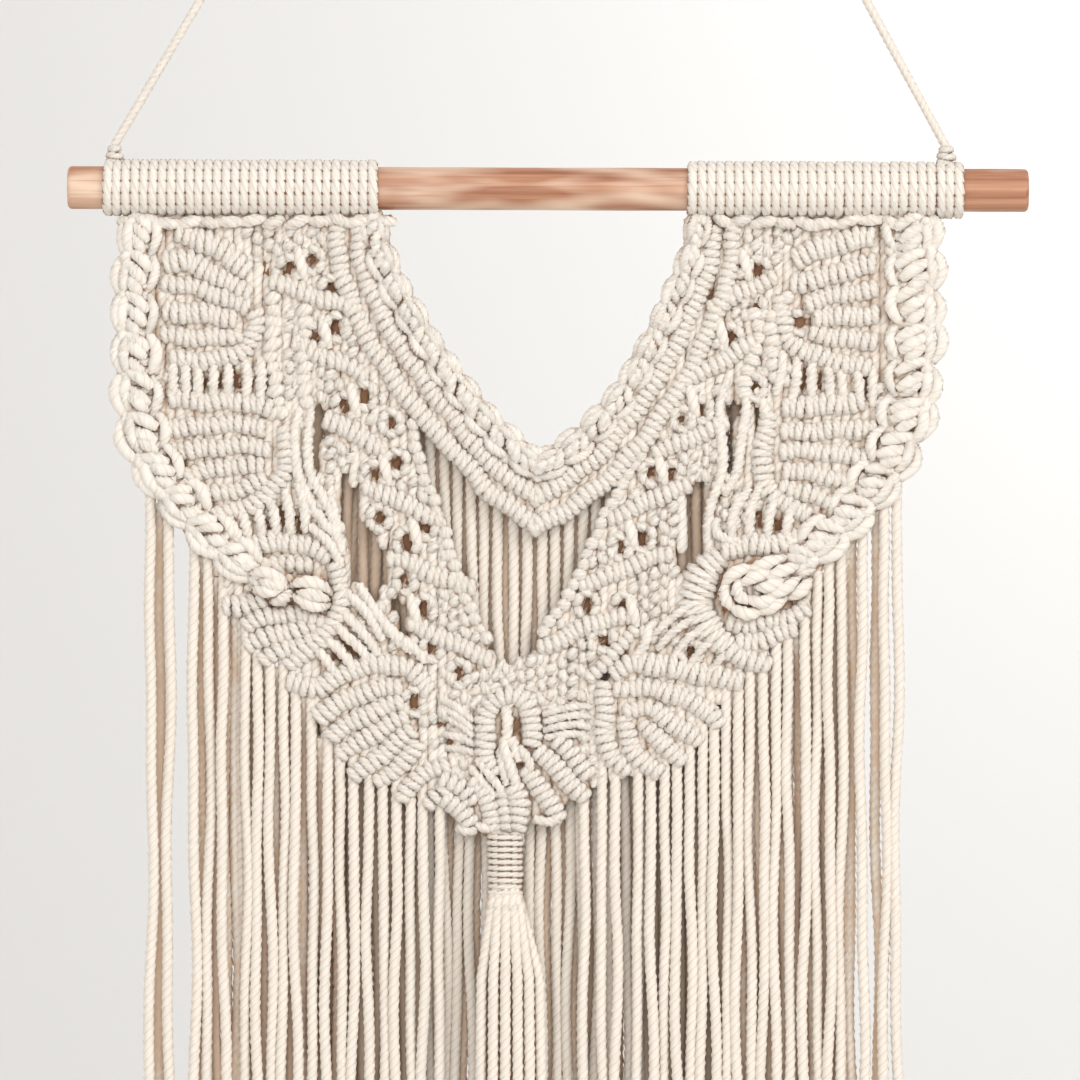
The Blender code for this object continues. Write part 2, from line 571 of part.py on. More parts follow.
def tassel():
    """The gathering wrap and the strands below it."""
    bm = bmesh.new()
    rings = []
    count = round((TASSEL_FOOT - TASSEL_TOP) / TASSEL_WRAP)
    for k in range(2 * count + 1):
        d = TASSEL_TOP + (TASSEL_FOOT - TASSEL_TOP) * k / (2 * count)
        swell = 1.0 if k % 2 else 0.93
        rings.append([place(TASSEL_X + TASSEL_HALF * swell * math.cos(math.tau * i / 10),
                            TASSEL_Y + TASSEL_DEEP * swell * math.sin(math.tau * i / 10), d)
                      for i in range(10)])
    skin(bm, rings)
    obj = add_object("tassel", bm)
    bm = bmesh.new()
    for k, (x0, y0, x1, y1) in enumerate(TASSEL_STRANDS):
        rows = [(x0, y0, TASSEL_FOOT - 2.5), (x0 + (x1 - x0) * 0.75, y0 + (y1 - y0) * 0.8, 276),
                (x1, y1, FRINGE_END + 1.5 * math.sin(2.3 * k))]
        strand(bm, rows, FRINGE_HALF, FRINGE_HALF)
    add_boolean(obj, add_object("tassel_strands", bm), "UNION")
    settle(obj)


def build():
    """Every piece of the wall hanging."""
    for obj in list(bpy.data.objects):
        bpy.data.objects.remove(obj, do_unlink=True)
    rod()
    knots_on_rod()
    hanging_cord()
    panel("panel_left", LEFT_WEB, LEFT_BARS, LEFT_SLOTS, LEFT_EYES,
          [above_top(), block(-3.45, 30, 80, 130), block(-13.45, 30, 150, 178.6),
           block(-31.3, 30, 178.2, 240), below(LEFT_EDGE)])
    panel("panel_right", RIGHT_WEB, RIGHT_BARS, RIGHT_SLOTS, RIGHT_EYES,
          [above_top(), block(-30, -3.15, 80, 130), block(-30, -13.15, 150, 178.6),
           block(-30, 15.3, 178.2, 240), below(RIGHT_EDGE)])
    panel("centre_motif", MOTIF_WEB, MOTIF_BARS, [], MOTIF_EYES,
          [block(-60, 40, 160, 178.5), block(-60, -31, 160, 240), block(15, 40, 160, 240)])
    tassel()
    fringe("fringe_left", LEFT_EDGE, 0.0, [(-0.6, 0.0, LEFT_FRONT), (REAR_Y, 1.0, LEFT_REAR)])
    fringe("fringe_right", RIGHT_EDGE, 0.0, [(-0.6, 0.0, RIGHT_FRONT), (REAR_Y, 1.0, RIGHT_REAR)])
    fringe("back_fringe", BACK_STRIP, BACK_STRIP_Y, [(BACK_Y, BACK_Y - 0.8, BACK_STRANDS)])


build()
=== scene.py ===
import math
import random
import bpy
import bmesh
import numpy
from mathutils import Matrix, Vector


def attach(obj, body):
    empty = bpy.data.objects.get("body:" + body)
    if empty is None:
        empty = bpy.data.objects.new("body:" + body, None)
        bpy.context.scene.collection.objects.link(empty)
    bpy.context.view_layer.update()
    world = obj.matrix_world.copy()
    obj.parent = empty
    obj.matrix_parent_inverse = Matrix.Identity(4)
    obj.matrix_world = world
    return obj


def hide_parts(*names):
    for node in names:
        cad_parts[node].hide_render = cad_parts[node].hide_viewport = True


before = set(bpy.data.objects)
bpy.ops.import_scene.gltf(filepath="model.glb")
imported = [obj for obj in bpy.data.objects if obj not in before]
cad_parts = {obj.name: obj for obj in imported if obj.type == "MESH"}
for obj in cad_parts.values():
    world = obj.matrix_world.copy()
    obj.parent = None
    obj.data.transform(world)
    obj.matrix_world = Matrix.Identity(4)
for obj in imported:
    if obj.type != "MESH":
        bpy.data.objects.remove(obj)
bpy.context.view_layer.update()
print("frame loaded")

mm = 0.001
rodDrop = 270.0                                 # from the hook down to the dowel's axis
rodTilt = math.tan(math.radians(0.18))          # the dowel hangs a little lower on the right
strandEnd = 397.0                               # from the dowel's axis down to the cut ends
dice = random.Random(7)


def spot(x, y, d):                              # table millimetres to metres; d runs down from the dowel
    return (x * mm, y * mm, -(rodDrop + d) * mm)


class Value:                                    # one socket, with arithmetic
    def __init__(self, graph, socket):
        self.graph = graph
        self.socket = socket

    def math(self, operation, first, second):
        return self.graph.add("ShaderNodeMath", {"operation": operation}, {0: first, 1: second})[0]

    def __add__(self, other):
        return self.math("ADD", self, other)

    def __radd__(self, other):
        return self.math("ADD", other, self)

    def __sub__(self, other):
        return self.math("SUBTRACT", self, other)

    def __rsub__(self, other):
        return self.math("SUBTRACT", other, self)

    def __mul__(self, other):
        return self.math("MULTIPLY", self, other)

    def __rmul__(self, other):
        return self.math("MULTIPLY", other, self)

    def __truediv__(self, other):
        return self.math("DIVIDE", self, other)

    def __rtruediv__(self, other):
        return self.math("DIVIDE", other, self)


class Made:                                     # a placed node; its outputs by name or number
    def __init__(self, graph, node):
        self.graph = graph
        self.node = node

    def __getitem__(self, key):
        return Value(self.graph, self.node.outputs[key])


class Graph:                                    # a node tree
    def __init__(self, tree):
        self.tree = tree

    def add(self, kind, settings, sockets):     # a node by its type, its settings and its sockets
        node = self.tree.nodes.new(kind)
        for key, value in settings.items():
            setattr(node, key, value)
        for key, value in sockets.items():
            if isinstance(value, Value):
                self.tree.links.new(value.socket, node.inputs[key])
            else:
                node.inputs[key].default_value = value
        return Made(self, node)


def newGeometryTree(name, inputs):              # a group with named inputs, and its graph
    tree = bpy.data.node_groups.new(name, "GeometryNodeTree")
    kinds = {"geometry": "NodeSocketGeometry", "float": "NodeSocketFloat", "int": "NodeSocketInt",
             "object": "NodeSocketObject", "material": "NodeSocketMaterial"}
    for label, kind in inputs:
        tree.interface.new_socket(name=label, in_out="INPUT", socket_type=kinds[kind])
    tree.interface.new_socket(name="Geometry", in_out="OUTPUT", socket_type="NodeSocketGeometry")
    graph = Graph(tree)
    return tree, graph, graph.add("NodeGroupInput", {}, {})


def linked(name, mesh):                         # a mesh as an object in the scene
    piece = bpy.data.objects.new(name, mesh)
    bpy.context.collection.objects.link(piece)
    return piece


def meshFrom(name, bm):                         # a plain mesh from bmesh work
    mesh = bpy.data.meshes.new(name)
    bm.to_mesh(mesh)
    bm.free()
    return mesh


def guideMesh(lines):                           # polylines of (point, size) as a mesh of loose edges
    mesh = bpy.data.meshes.new("guide")
    points = []
    edges = []
    sizes = []
    for line in lines:
        start = len(points)
        for point, size in line:
            points.append(point)
            sizes.append(size)
        edges += [(k, k + 1) for k in range(start, len(points) - 1)]
    mesh.from_pydata(points, edges, [])
    sizeLayer = mesh.attributes.new("size", "FLOAT", "POINT")
    sizeLayer.data.foreach_set("value", sizes)
    return mesh


def runTree(name, tree, lines, values):         # evaluate a tree on guide lines into a plain mesh object
    holder = linked(name + "Guide", guideMesh(lines))
    modifier = holder.modifiers.new("nodes", "NODES")
    modifier.node_group = tree
    for item in tree.interface.items_tree:
        if item.in_out == "INPUT" and item.name in values:
            modifier[item.identifier] = values[item.name]
    graphNow = bpy.context.evaluated_depsgraph_get()
    mesh = bpy.data.meshes.new_from_object(holder.evaluated_get(graphNow))
    mesh.name = name
    holder.modifiers.remove(modifier)
    bpy.data.objects.remove(holder, do_unlink=True)
    return linked(name, mesh)


def smoothRows(rows, step, pieces=10):          # evenly spaced samples of a smooth curve through the rows
    rows = [Vector(row) for row in rows]
    ends = [rows[0] * 2 - rows[1]] + rows + [rows[-1] * 2 - rows[-2]]
    fine = []
    for a, b, c, e in zip(ends, ends[1:], ends[2:], ends[3:]):
        for k in range(pieces):
            t = k / pieces
            fine.append(0.5 * (2 * b + (c - a) * t + (2 * a - 5 * b + 4 * c - e) * t * t
                               + (3 * b - a - 3 * c + e) * t ** 3))
    fine.append(rows[-1])
    reach = [0.0]
    for a, b in zip(fine, fine[1:]):
        reach.append(reach[-1] + (b - a).xy.length)
    count = max(2, round(reach[-1] / step))
    samples = []
    k = 0
    for i in range(count + 1):
        target = reach[-1] * i / count
        while k < len(fine) - 2 and reach[k + 1] < target:
            k += 1
        t = (target - reach[k]) / max(reach[k + 1] - reach[k], 1e-9)
        samples.append(fine[k].lerp(fine[k + 1], min(t, 1.0)))
    return samples


def randomValue(graph, low, high, seed, sockets={}):
    return graph.add("FunctionNodeRandomValue", {"data_type": "FLOAT"},
                     {2: low, 3: high, "Seed": seed, **sockets})[1]


def stored(graph, geometry, name, value, kind="FLOAT", domain="POINT"):     # keeps a value on the geometry
    return graph.add("GeometryNodeStoreNamedAttribute", {"data_type": kind, "domain": domain},
                     {"Geometry": geometry, "Name": name, "Value": value})["Geometry"]


def guideCurve(graph, given, step):             # the guide lines as curves with a point at every step
    curve = graph.add("GeometryNodeMeshToCurve", {}, {"Mesh": given["Geometry"]})["Curve"]
    return graph.add("GeometryNodeResampleCurve", {"mode": "LENGTH"},
                     {"Curve": curve, "Length": step})["Curve"]


def treeEnd(graph, given, geometry):            # a plain smooth mesh in its finish
    solid = graph.add("GeometryNodeRealizeInstances", {}, {"Geometry": geometry})["Geometry"]
    solid = graph.add("GeometryNodeSetShadeSmooth", {}, {"Geometry": solid})["Geometry"]
    solid = graph.add("GeometryNodeSetMaterial", {},
                      {"Geometry": solid, "Material": given["Material"]})["Geometry"]
    graph.add("NodeGroupOutput", {}, {"Geometry": solid})


def buildCordTree():                            # three-ply cord swept along each guide line
    tree, graph, given = newGeometryTree("twistedCord", [
        ("Geometry", "geometry"), ("Radius", "float"), ("Ply Depth", "float"), ("Lay", "float"),
        ("Ring Step", "float"), ("Sides", "int"), ("Seed", "int"), ("Material", "material")])
    curve = guideCurve(graph, given, given["Ring Step"])
    along = graph.add("GeometryNodeSplineParameter", {}, {})["Length"]
    line = {"ID": graph.add("GeometryNodeCurveOfPoint", {}, {})["Curve Index"]}
    fullTurn = 6.283
    phase = randomValue(graph, 0.0, fullTurn, given["Seed"], line)
    tone = randomValue(graph, 0.0, 1.0, given["Seed"] + 5, line)
    curve = stored(graph, curve, "tone", tone)
    curve = stored(graph, curve, "along", along)
    curve = graph.add("GeometryNodeSetCurveTilt", {},
                      {"Curve": curve, "Tilt": along / given["Lay"] * math.tau + phase})["Curve"]
    ring = graph.add("GeometryNodeCurvePrimitiveCircle", {},
                     {"Resolution": given["Sides"], "Radius": 1.0})["Curve"]
    plies = 3
    index = graph.add("GeometryNodeInputIndex", {}, {})[0]
    angle = index / given["Sides"] * (plies * math.tau)
    wave = graph.add("ShaderNodeMath", {"operation": "COSINE"}, {0: angle})[0]
    place = graph.add("GeometryNodeInputPosition", {}, {})[0]
    inset = 1.0 - given["Ply Depth"] * (0.5 - 0.5 * wave)
    pressed = graph.add("ShaderNodeVectorMath", {"operation": "SCALE"}, {0: place, "Scale": inset})[0]
    ring = stored(graph, ring, "ply", 0.5 + 0.5 * wave)
    ring = graph.add("GeometryNodeSetPosition", {}, {"Geometry": ring, "Position": pressed})["Geometry"]
    ring = stored(graph, ring, "ring", place, kind="FLOAT_VECTOR")
    size = graph.add("GeometryNodeInputNamedAttribute", {"data_type": "FLOAT"},
                     {"Name": "size"})["Attribute"]
    solid = graph.add("GeometryNodeCurveToMesh", {}, {
        "Curve": curve, "Profile Curve": ring, "Fill Caps": True, "Scale": size * given["Radius"]})["Mesh"]
    treeEnd(graph, given, solid)
    return tree


def buildHitchTree():                           # a loop of cord at every step of each guide line
    tree, graph, given = newGeometryTree("hitchRow", [
        ("Geometry", "geometry"), ("Loop", "object"), ("Pitch", "float"), ("Lean", "float"),
        ("Wander", "float"), ("Uneven", "float"), ("Seed", "int"), ("Material", "material")])
    curve = guideCurve(graph, given, given["Pitch"])
    tangent = graph.add("GeometryNodeInputTangent", {}, {})[0]
    turned = graph.add("FunctionNodeAxesToRotation", {"primary_axis": "X", "secondary_axis": "Y"},
                       {"Primary Axis": tangent, "Secondary Axis": (0, 1, 0)})[0]
    wobble = randomValue(graph, given["Wander"] * -1.0, given["Wander"], given["Seed"])
    nudge = graph.add("ShaderNodeCombineXYZ", {},
                      {"X": wobble * 0.5, "Y": given["Lean"] + wobble, "Z": wobble * -0.6})[0]
    nudge = graph.add("FunctionNodeEulerToRotation", {}, {"Euler": nudge})[0]
    turned = graph.add("FunctionNodeRotateRotation", {"rotation_space": "LOCAL"},
                       {"Rotation": turned, "Rotate By": nudge})[0]
    swell = randomValue(graph, 1.0 - given["Uneven"], given["Uneven"] * 0.5 + 1.0, given["Seed"] + 3)
    size = graph.add("GeometryNodeInputNamedAttribute", {"data_type": "FLOAT"},
                     {"Name": "size"})["Attribute"]
    scale = graph.add("ShaderNodeCombineXYZ", {},     # a wider bar is only half as much deeper
                      {"X": 1.0, "Y": swell * (size * 0.45 + 0.55), "Z": swell * size})[0]
    loop = graph.add("GeometryNodeObjectInfo", {}, {"Object": given["Loop"]})["Geometry"]
    loops = graph.add("GeometryNodeInstanceOnPoints", {},
                      {"Points": curve, "Instance": loop, "Rotation": turned, "Scale": scale})["Instances"]
    tone = randomValue(graph, 0.0, 1.0, given["Seed"] + 9)
    treeEnd(graph, given, stored(graph, loops, "tone", tone, domain="INSTANCE"))
    return tree


def makeLoop(name, wide, deep, cord, squash, steps, sides, lobes):
    bm = bmesh.new()                            # a closed turn of cord round its local X axis
    ringLayer = bm.verts.layers.float_vector.new("ring")
    alongLayer = bm.verts.layers.float.new("along")
    plyLayer = bm.verts.layers.float.new("ply")
    groove = 0.93                               # every other corner of the cord lies in a groove
    rings = []
    for i in range(steps):
        angle = math.tau * i / steps
        centre = Vector((0, math.sin(angle) * (deep - cord), math.cos(angle) * (wide - cord)))
        outward = Vector((0, math.sin(angle) / deep, math.cos(angle) / wide)).normalized()
        ring = []
        for k in range(sides):
            turn = math.tau * k / sides + math.tau * i / steps * lobes / 3
            reach = cord * (1.0 if k % 2 == 0 else groove)
            sideways = Vector((math.cos(turn) * reach * squash, 0, 0))
            vert = bm.verts.new(centre + sideways + outward * (math.sin(turn) * reach))
            vert[ringLayer] = (math.cos(math.tau * k / sides), math.sin(math.tau * k / sides), 0)
            vert[plyLayer] = 1.0 - k % 2
            vert[alongLayer] = angle / math.tau * (wide + deep) * math.pi * mm
            ring.append(vert)
        rings.append(ring)
    shift = round(sides * lobes / 3) % sides
    for i in range(steps):
        here = rings[i]
        there = rings[(i + 1) % steps]
        for k in range(sides):
            move = shift if i == steps - 1 else 0       # the twist closes on itself
            bm.faces.new((here[k], here[(k + 1) % sides],
                          there[(k + 1 + move) % sides], there[(k + move) % sides]))
    bmesh.ops.scale(bm, vec=(mm, mm, mm), verts=bm.verts)
    bmesh.ops.recalc_face_normals(bm, faces=bm.faces)
    return linked(name, meshFrom(name, bm))


def joined(name, parts):                        # several meshes as one object, each with its own finish
    bm = bmesh.new()
    finishes = []
    for part in parts:
        finish = next(material for material in part.data.materials if material)
        if finish not in finishes:
            finishes.append(finish)
        start = len(bm.faces)
        bm.from_mesh(part.data)
        bm.faces.ensure_lookup_table()
        for face in bm.faces[start:]:
            face.material_index = finishes.index(finish)
    mesh = meshFrom(name, bm)
    for finish in finishes:
        mesh.materials.append(finish)
    for part in parts:
        bpy.data.objects.remove(part, do_unlink=True)
    return linked(name, mesh)


paintedShadeBoost = {"slotShadeCotton": 8.0, "eyeShadeCotton": 4.0}     # how much deeper these finishes count from the front, for darker painted shade


def readMesh(items, key, kind, width=1):        # one value of every item as a numpy array
    values = numpy.empty(len(items) * width, kind)
    items.foreach_get(key, values)
    return values


def markHollows(piece, cell=0.8, reach=4):      # how far each vertex lies inside the surface around it, in mm; it sets the painted shade
    mesh = piece.data
    places = readMesh(mesh.vertices, "co", float, 3).reshape(-1, 3) / mm
    column, row = (((places[:, k] - places[:, k].min()) / cell).astype(int) + reach for k in (0, 2))
    shape = (column.max() + reach + 1, row.max() + reach + 1)
    farAway = 99.0
    depths = []
    for side in (1, -1):                        # the front, then the back
        face = numpy.full(shape, farAway)
        numpy.minimum.at(face, (column, row), places[:, 1] * side)
        known = (face < farAway).astype(float)
        face *= known
        total = numpy.zeros(shape)
        count = numpy.zeros(shape)
        for i in range(-reach, reach + 1):
            for k in range(-reach, reach + 1):
                if i * i + k * k <= reach * reach + 1:
                    total += numpy.roll(face, (i, k), (0, 1))
                    count += numpy.roll(known, (i, k), (0, 1))
        depths.append(places[:, 1] * side - (total / numpy.maximum(count, 1.0))[column, row])
    corners = readMesh(mesh.loops, "vertex_index", int)
    finish = readMesh(mesh.polygons, "material_index", int)
    sides = readMesh(mesh.polygons, "loop_total", int)
    # finishes seen through the slots and eyes count deeper, for more painted shade
    deeper = numpy.array([paintedShadeBoost.get(material.name, 0.0) for material in mesh.materials])
    extra = numpy.zeros(len(mesh.vertices))
    extra[corners] = deeper[numpy.repeat(finish, sides)]
    facing = readMesh(mesh.vertices, "normal", float, 3)[1::3]
    layer = mesh.attributes.new("hollow", "FLOAT", "POINT")
    layer.data.foreach_set("value", numpy.where(facing < 0, depths[0] + extra, depths[1]))


cordTree = buildCordTree()
hitchTree = buildHitchTree()


def newMaterial(name):
    material = bpy.data.materials.new(name)
    material.use_nodes = True
    material.node_tree.nodes.clear()
    return material, Graph(material.node_tree)


def attribute(graph, name, output="Fac"):
    return graph.add("ShaderNodeAttribute", {"attribute_name": name}, {})[output]


def noise(graph, place, scale, detail, sockets={}):
    return graph.add("ShaderNodeTexNoise", {},
                     {"Vector": place, "Scale": scale, "Detail": detail, **sockets})["Fac"]


def clamped(graph, value):
    return graph.add("ShaderNodeClamp", {}, {0: value})[0]


def between(graph, value, low, high):           # 0 up to low, 1 from high on
    return clamped(graph, (value - low) / (high - low))


def mixColour(graph, factor, first, second):
    return graph.add("ShaderNodeMix", {"data_type": "RGBA", "blend_type": "MIX"},
                     {0: factor, 6: first, 7: second})[2]


def surface(graph, sockets):                    # the finish's shader, led to its output
    shader = graph.add("ShaderNodeBsdfPrincipled", {}, sockets)[0]
    graph.add("ShaderNodeOutputMaterial", {}, {"Surface": shader})


def cottonFinish(name, look):                   # soft three-ply cotton; painted shade makes it browner down in the ply grooves, creases and gaps
    material, graph = newMaterial(name)
    ring = attribute(graph, "ring", "Vector")
    along = attribute(graph, "along")
    tone = attribute(graph, "tone")
    ply = attribute(graph, "ply")
    hollow = attribute(graph, "hollow")
    split = graph.add("ShaderNodeSeparateXYZ", {}, {0: ring})
    fibreSpot = graph.add("ShaderNodeCombineXYZ", {}, {
        0: split[0] * look["fibreCount"], 1: split[1] * look["fibreCount"],
        2: along * look["fibreAlong"] + tone * look["toneShift"]})[0]
    place = graph.add("ShaderNodeTexCoord", {}, {})["Object"]
    fibre = noise(graph, fibreSpot, 1.0, 3.0, {"Roughness": 0.6})
    patch = noise(graph, place, look["patchScale"], 2.0)
    fleck = noise(graph, place, look["fleckScale"], 2.0)
    # painted shade in the ply grooves
    groove = clamped(graph, (look["grooveWide"] - ply) / look["grooveWide"])
    # painted shade in creases and gaps, by how far the surface lies inside the surface around it
    creaseShadeMask = between(graph, hollow, look["creaseFrom"], look["creaseTo"])
    gapShadeMask = between(graph, hollow, look["gapFrom"], look["gapTo"])
    colour = mixColour(graph, clamped(graph, fibre * 2.6 - 0.7), (*look["shade"], 1), (*look["light"], 1))
    colour = mixColour(graph, clamped(graph, patch * 0.5 + tone * 0.35 - 0.1), colour, (*look["warm"], 1))
    colour = mixColour(graph, groove * look["grooveDepth"], colour, (*look["crease"], 1))
    colour = mixColour(graph, creaseShadeMask * look["creaseDepth"], colour, (*look["crease"], 1))
    colour = mixColour(graph, gapShadeMask * look["sink"], colour, (*look["gap"], 1))
    bump = graph.add("ShaderNodeBump", {}, {"Strength": look["bump"], "Distance": look["bumpHeight"],
                                            "Height": fibre * 0.7 + fleck * 0.3})[0]
    surface(graph, {"Base Color": colour, "Roughness": clamped(graph, look["roughness"] + fleck * 0.2),
                    "Normal": bump, "Sheen Weight": look["sheen"], "Sheen Roughness": 0.45,
                    "Specular IOR Level": 0.25})
    return material


def woodFinish(name, look):                     # turned dowel with long grain
    material, graph = newMaterial(name)
    place = graph.add("ShaderNodeTexCoord", {}, {})["Object"]
    long = graph.add("ShaderNodeMapping", {}, {"Vector": place, "Scale": look["grainScale"]})[0]
    wide = graph.add("ShaderNodeMapping", {}, {"Vector": place, "Scale": look["bandScale"]})[0]
    grain = noise(graph, long, 1.0, 4.0, {"Roughness": 0.65, "Distortion": 0.4})
    band = noise(graph, wide, 1.0, 2.0)
    pore = noise(graph, long, look["poreScale"], 2.0)
    colour = mixColour(graph, clamped(graph, grain * 3.0 - 0.95), (*look["dark"], 1), (*look["mid"], 1))
    colour = mixColour(graph, clamped(graph, band * 4.5 - 1.9), colour, (*look["pale"], 1))
    colour = mixColour(graph, clamped(graph, pore * 6.0 - 3.4) * look["poreDepth"], colour,
                       (*look["pore"], 1))
    bump = graph.add("ShaderNodeBump", {}, {"Strength": look["bump"], "Distance": look["bumpHeight"],
                                            "Height": grain * 0.6 + pore * 0.4})[0]
    surface(graph, {"Base Color": colour, "Roughness": look["roughness"] + grain * 0.2, "Normal": bump,
                    "Specular IOR Level": 0.4})
    return material


cotton = {                                      # painted shade in creases and gaps: its from and to in millimetres inside the surface around
    "light": (0.83, 0.80, 0.755), "shade": (0.70, 0.63, 0.54), "warm": (0.80, 0.75, 0.68),
    "crease": (0.61, 0.46, 0.335), "creaseFrom": -0.1, "creaseTo": 1.3, "creaseDepth": 0.85,
    "gap": (0.36, 0.20, 0.115), "gapFrom": 1.0, "gapTo": 2.2, "sink": 0.95,
    "grooveWide": 0.4, "grooveDepth": 0.5, "fibreCount": 5.0, "fibreAlong": 170.0, "toneShift": 40.0,
    "patchScale": 55.0, "fleckScale": 900.0, "bump": 0.8, "bumpHeight": 0.0008,
    "roughness": 0.78, "sheen": 0.25}
timber = {
    "dark": (0.27, 0.105, 0.055), "mid": (0.48, 0.245, 0.145), "pale": (0.67, 0.49, 0.365),
    "pore": (0.20, 0.075, 0.04), "grainScale": (9.0, 330.0, 330.0), "bandScale": (20.0, 70.0, 100.0),
    "poreScale": 3.2, "poreDepth": 0.35, "bump": 0.25, "bumpHeight": 0.0003, "roughness": 0.42}
cordKnotted = cottonFinish("knottedCotton", cotton)
# loose strands: painted a little dimmer than the knotted cotton, as painted shade, with lighter painted shade
# in creases and gaps
cordLoose = cottonFinish("looseCotton", {
    **cotton, "light": (0.80, 0.76, 0.70), "crease": (0.68, 0.53, 0.40), "gap": (0.68, 0.50, 0.37),
    "sink": 0.75, "grooveDepth": 0.7})
# strands seen through the long slots: darker painted shade
cordSlotShade = cottonFinish("slotShadeCotton", {
    **cotton, "crease": (0.52, 0.38, 0.27), "gap": (0.45, 0.31, 0.21), "grooveDepth": 0.2,
    "creaseFrom": 2.0, "creaseTo": 4.0, "gapFrom": 6.0, "gapTo": 10.0})
# eye floors: dark brown cotton, painted shade where the eyes show only shade
cordEyeShade = cottonFinish("eyeShadeCotton", {
    **cotton, "crease": (0.26, 0.14, 0.075), "gap": (0.22, 0.11, 0.055), "grooveDepth": 0.1,
    "creaseFrom": 0.6, "creaseTo": 1.6})
dowelWood = woodFinish("dowelWood", timber)
print("finishes made")


def dress(piece, node):                         # the finished piece stands in for its CAD node
    markHollows(piece)
    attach(piece, "root")
    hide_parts(node)


cordLays = {                                    # ply depth, lay and ring step in mm, sides
    "hanging": (0.22, 7.6, 1.3, 9),
    "braid": (0.12, 9.0, 1.1, 7),
    "single": (0.20, 9.4, 1.2, 6),
    "knot": (0.12, 9.4, 1.2, 6),
    "behind": (0.12, 9.4, 2.0, 6),
    "strand": (0.17, 9.4, 1.15, 6),
    "rearStrand": (0.17, 9.4, 2.3, 6),
}


def twistedCord(name, lines, radius, lay, seed, finish=cordKnotted):    # cord along guide lines
    plyDepth, twist, step, sides = cordLays[lay]
    return runTree(name, cordTree, lines, {
        "Radius": radius * mm, "Ply Depth": plyDepth, "Lay": twist * mm, "Ring Step": step * mm,
        "Sides": sides, "Seed": seed, "Material": finish})


def hitchRow(name, lines, look, seed):          # closed turns of cord along guide lines
    loop = makeLoop(name, *look["loop"])        # half width, half depth, cord, squash, steps, sides, lobes
    row = runTree(name, hitchTree, lines, {
        "Loop": loop, "Pitch": look["pitch"] * mm, "Lean": look["lean"], "Wander": look["wander"],
        "Uneven": look["uneven"], "Seed": seed, "Material": cordKnotted})
    bpy.data.objects.remove(loop, do_unlink=True)
    return row


def rowLines(rows, y, step, unit, sway=0.0):    # smoothed rows of (x, d, width) as guide lines at depth y
    lines = []
    for k, row in enumerate(rows):
        line = []
        for p in smoothRows(row, step):
            x = p.x + sway * math.sin(p.y * 0.5 + 2 * k)
            deep = y + sway * math.sin(p.x * 0.7 + p.y * 0.4 + 3 * k)
            line.append((spot(x, deep, p.y + sway * math.sin(p.x * 0.45 + 5 * k)), p.z / unit))
        lines.append(line)
    return lines


rodLook = {"left": -167.7, "right": 168.4, "radius": 7.5, "edge": 1.6, "rounding": 5, "lengthSteps": 24,
           "sides": 44, "uneven": 0.06}


def turnedRod(name, look):                      # a lathe along X with rounded ends
    profile = []
    for k in range(look["rounding"] + 1):
        angle = math.pi / 2 * (1 - k / look["rounding"])
        profile.append((look["left"] + look["edge"] * (1 - math.sin(angle)),
                        look["radius"] - look["edge"] * (1 - math.cos(angle))))
    span = look["right"] - look["left"] - 2 * look["edge"]
    for k in range(1, look["lengthSteps"]):
        profile.append((look["left"] + look["edge"] + span * k / look["lengthSteps"],
                        look["radius"] + dice.uniform(-look["uneven"], look["uneven"])))
    middle = (look["left"] + look["right"]) / 2
    profile += [(2 * middle - x, radius) for x, radius in reversed(profile[:look["rounding"] + 1])]
    bm = bmesh.new()
    rings = []
    for x, radius in profile:
        ring = []
        for k in range(look["sides"]):
            angle = math.tau * k / look["sides"]
            ring.append(bm.verts.new(spot(x, radius * math.sin(angle),
                                          x * rodTilt + radius * math.cos(angle))))
        rings.append(ring)
    for first, second in zip(rings, rings[1:]):
        for k in range(look["sides"]):
            bm.faces.new((first[k], first[k - 1], second[k - 1], second[k]))
    bm.faces.new(rings[0])
    bm.faces.new(rings[-1])
    bmesh.ops.recalc_face_normals(bm, faces=bm.faces)
    for face in bm.faces:
        face.smooth = len(face.verts) == 4
    mesh = meshFrom(name, bm)
    mesh.materials.append(dowelWood)
    return linked(name, mesh)


dress(turnedRod("rodTimber", rodLook), "rod")
print("dowel turned")

# cord turns on the dowel: node, piece and the x of the ends
turnLook = {"loop": (10.3, 10.3, 1.9, 1.12, 26, 6, 7), "pitch": 3.16, "lean": 0.0, "wander": 0.025,
            "uneven": 0.02}
turnRows = [("mounting_left", "rodTurnsLeft", (-147.1, -61.0)),
            ("mounting_right", "rodTurnsRight", (51.0, 134.2))]


def rodLine(ends):                              # a straight guide line along the dowel's axis
    return [(spot(x, 0, x * rodTilt), 1.0) for x in ends]


for seed, (node, name, ends) in enumerate(turnRows, 11):
    dress(joined(name, [hitchRow("turns", [rodLine(ends)], turnLook, seed)]), node)

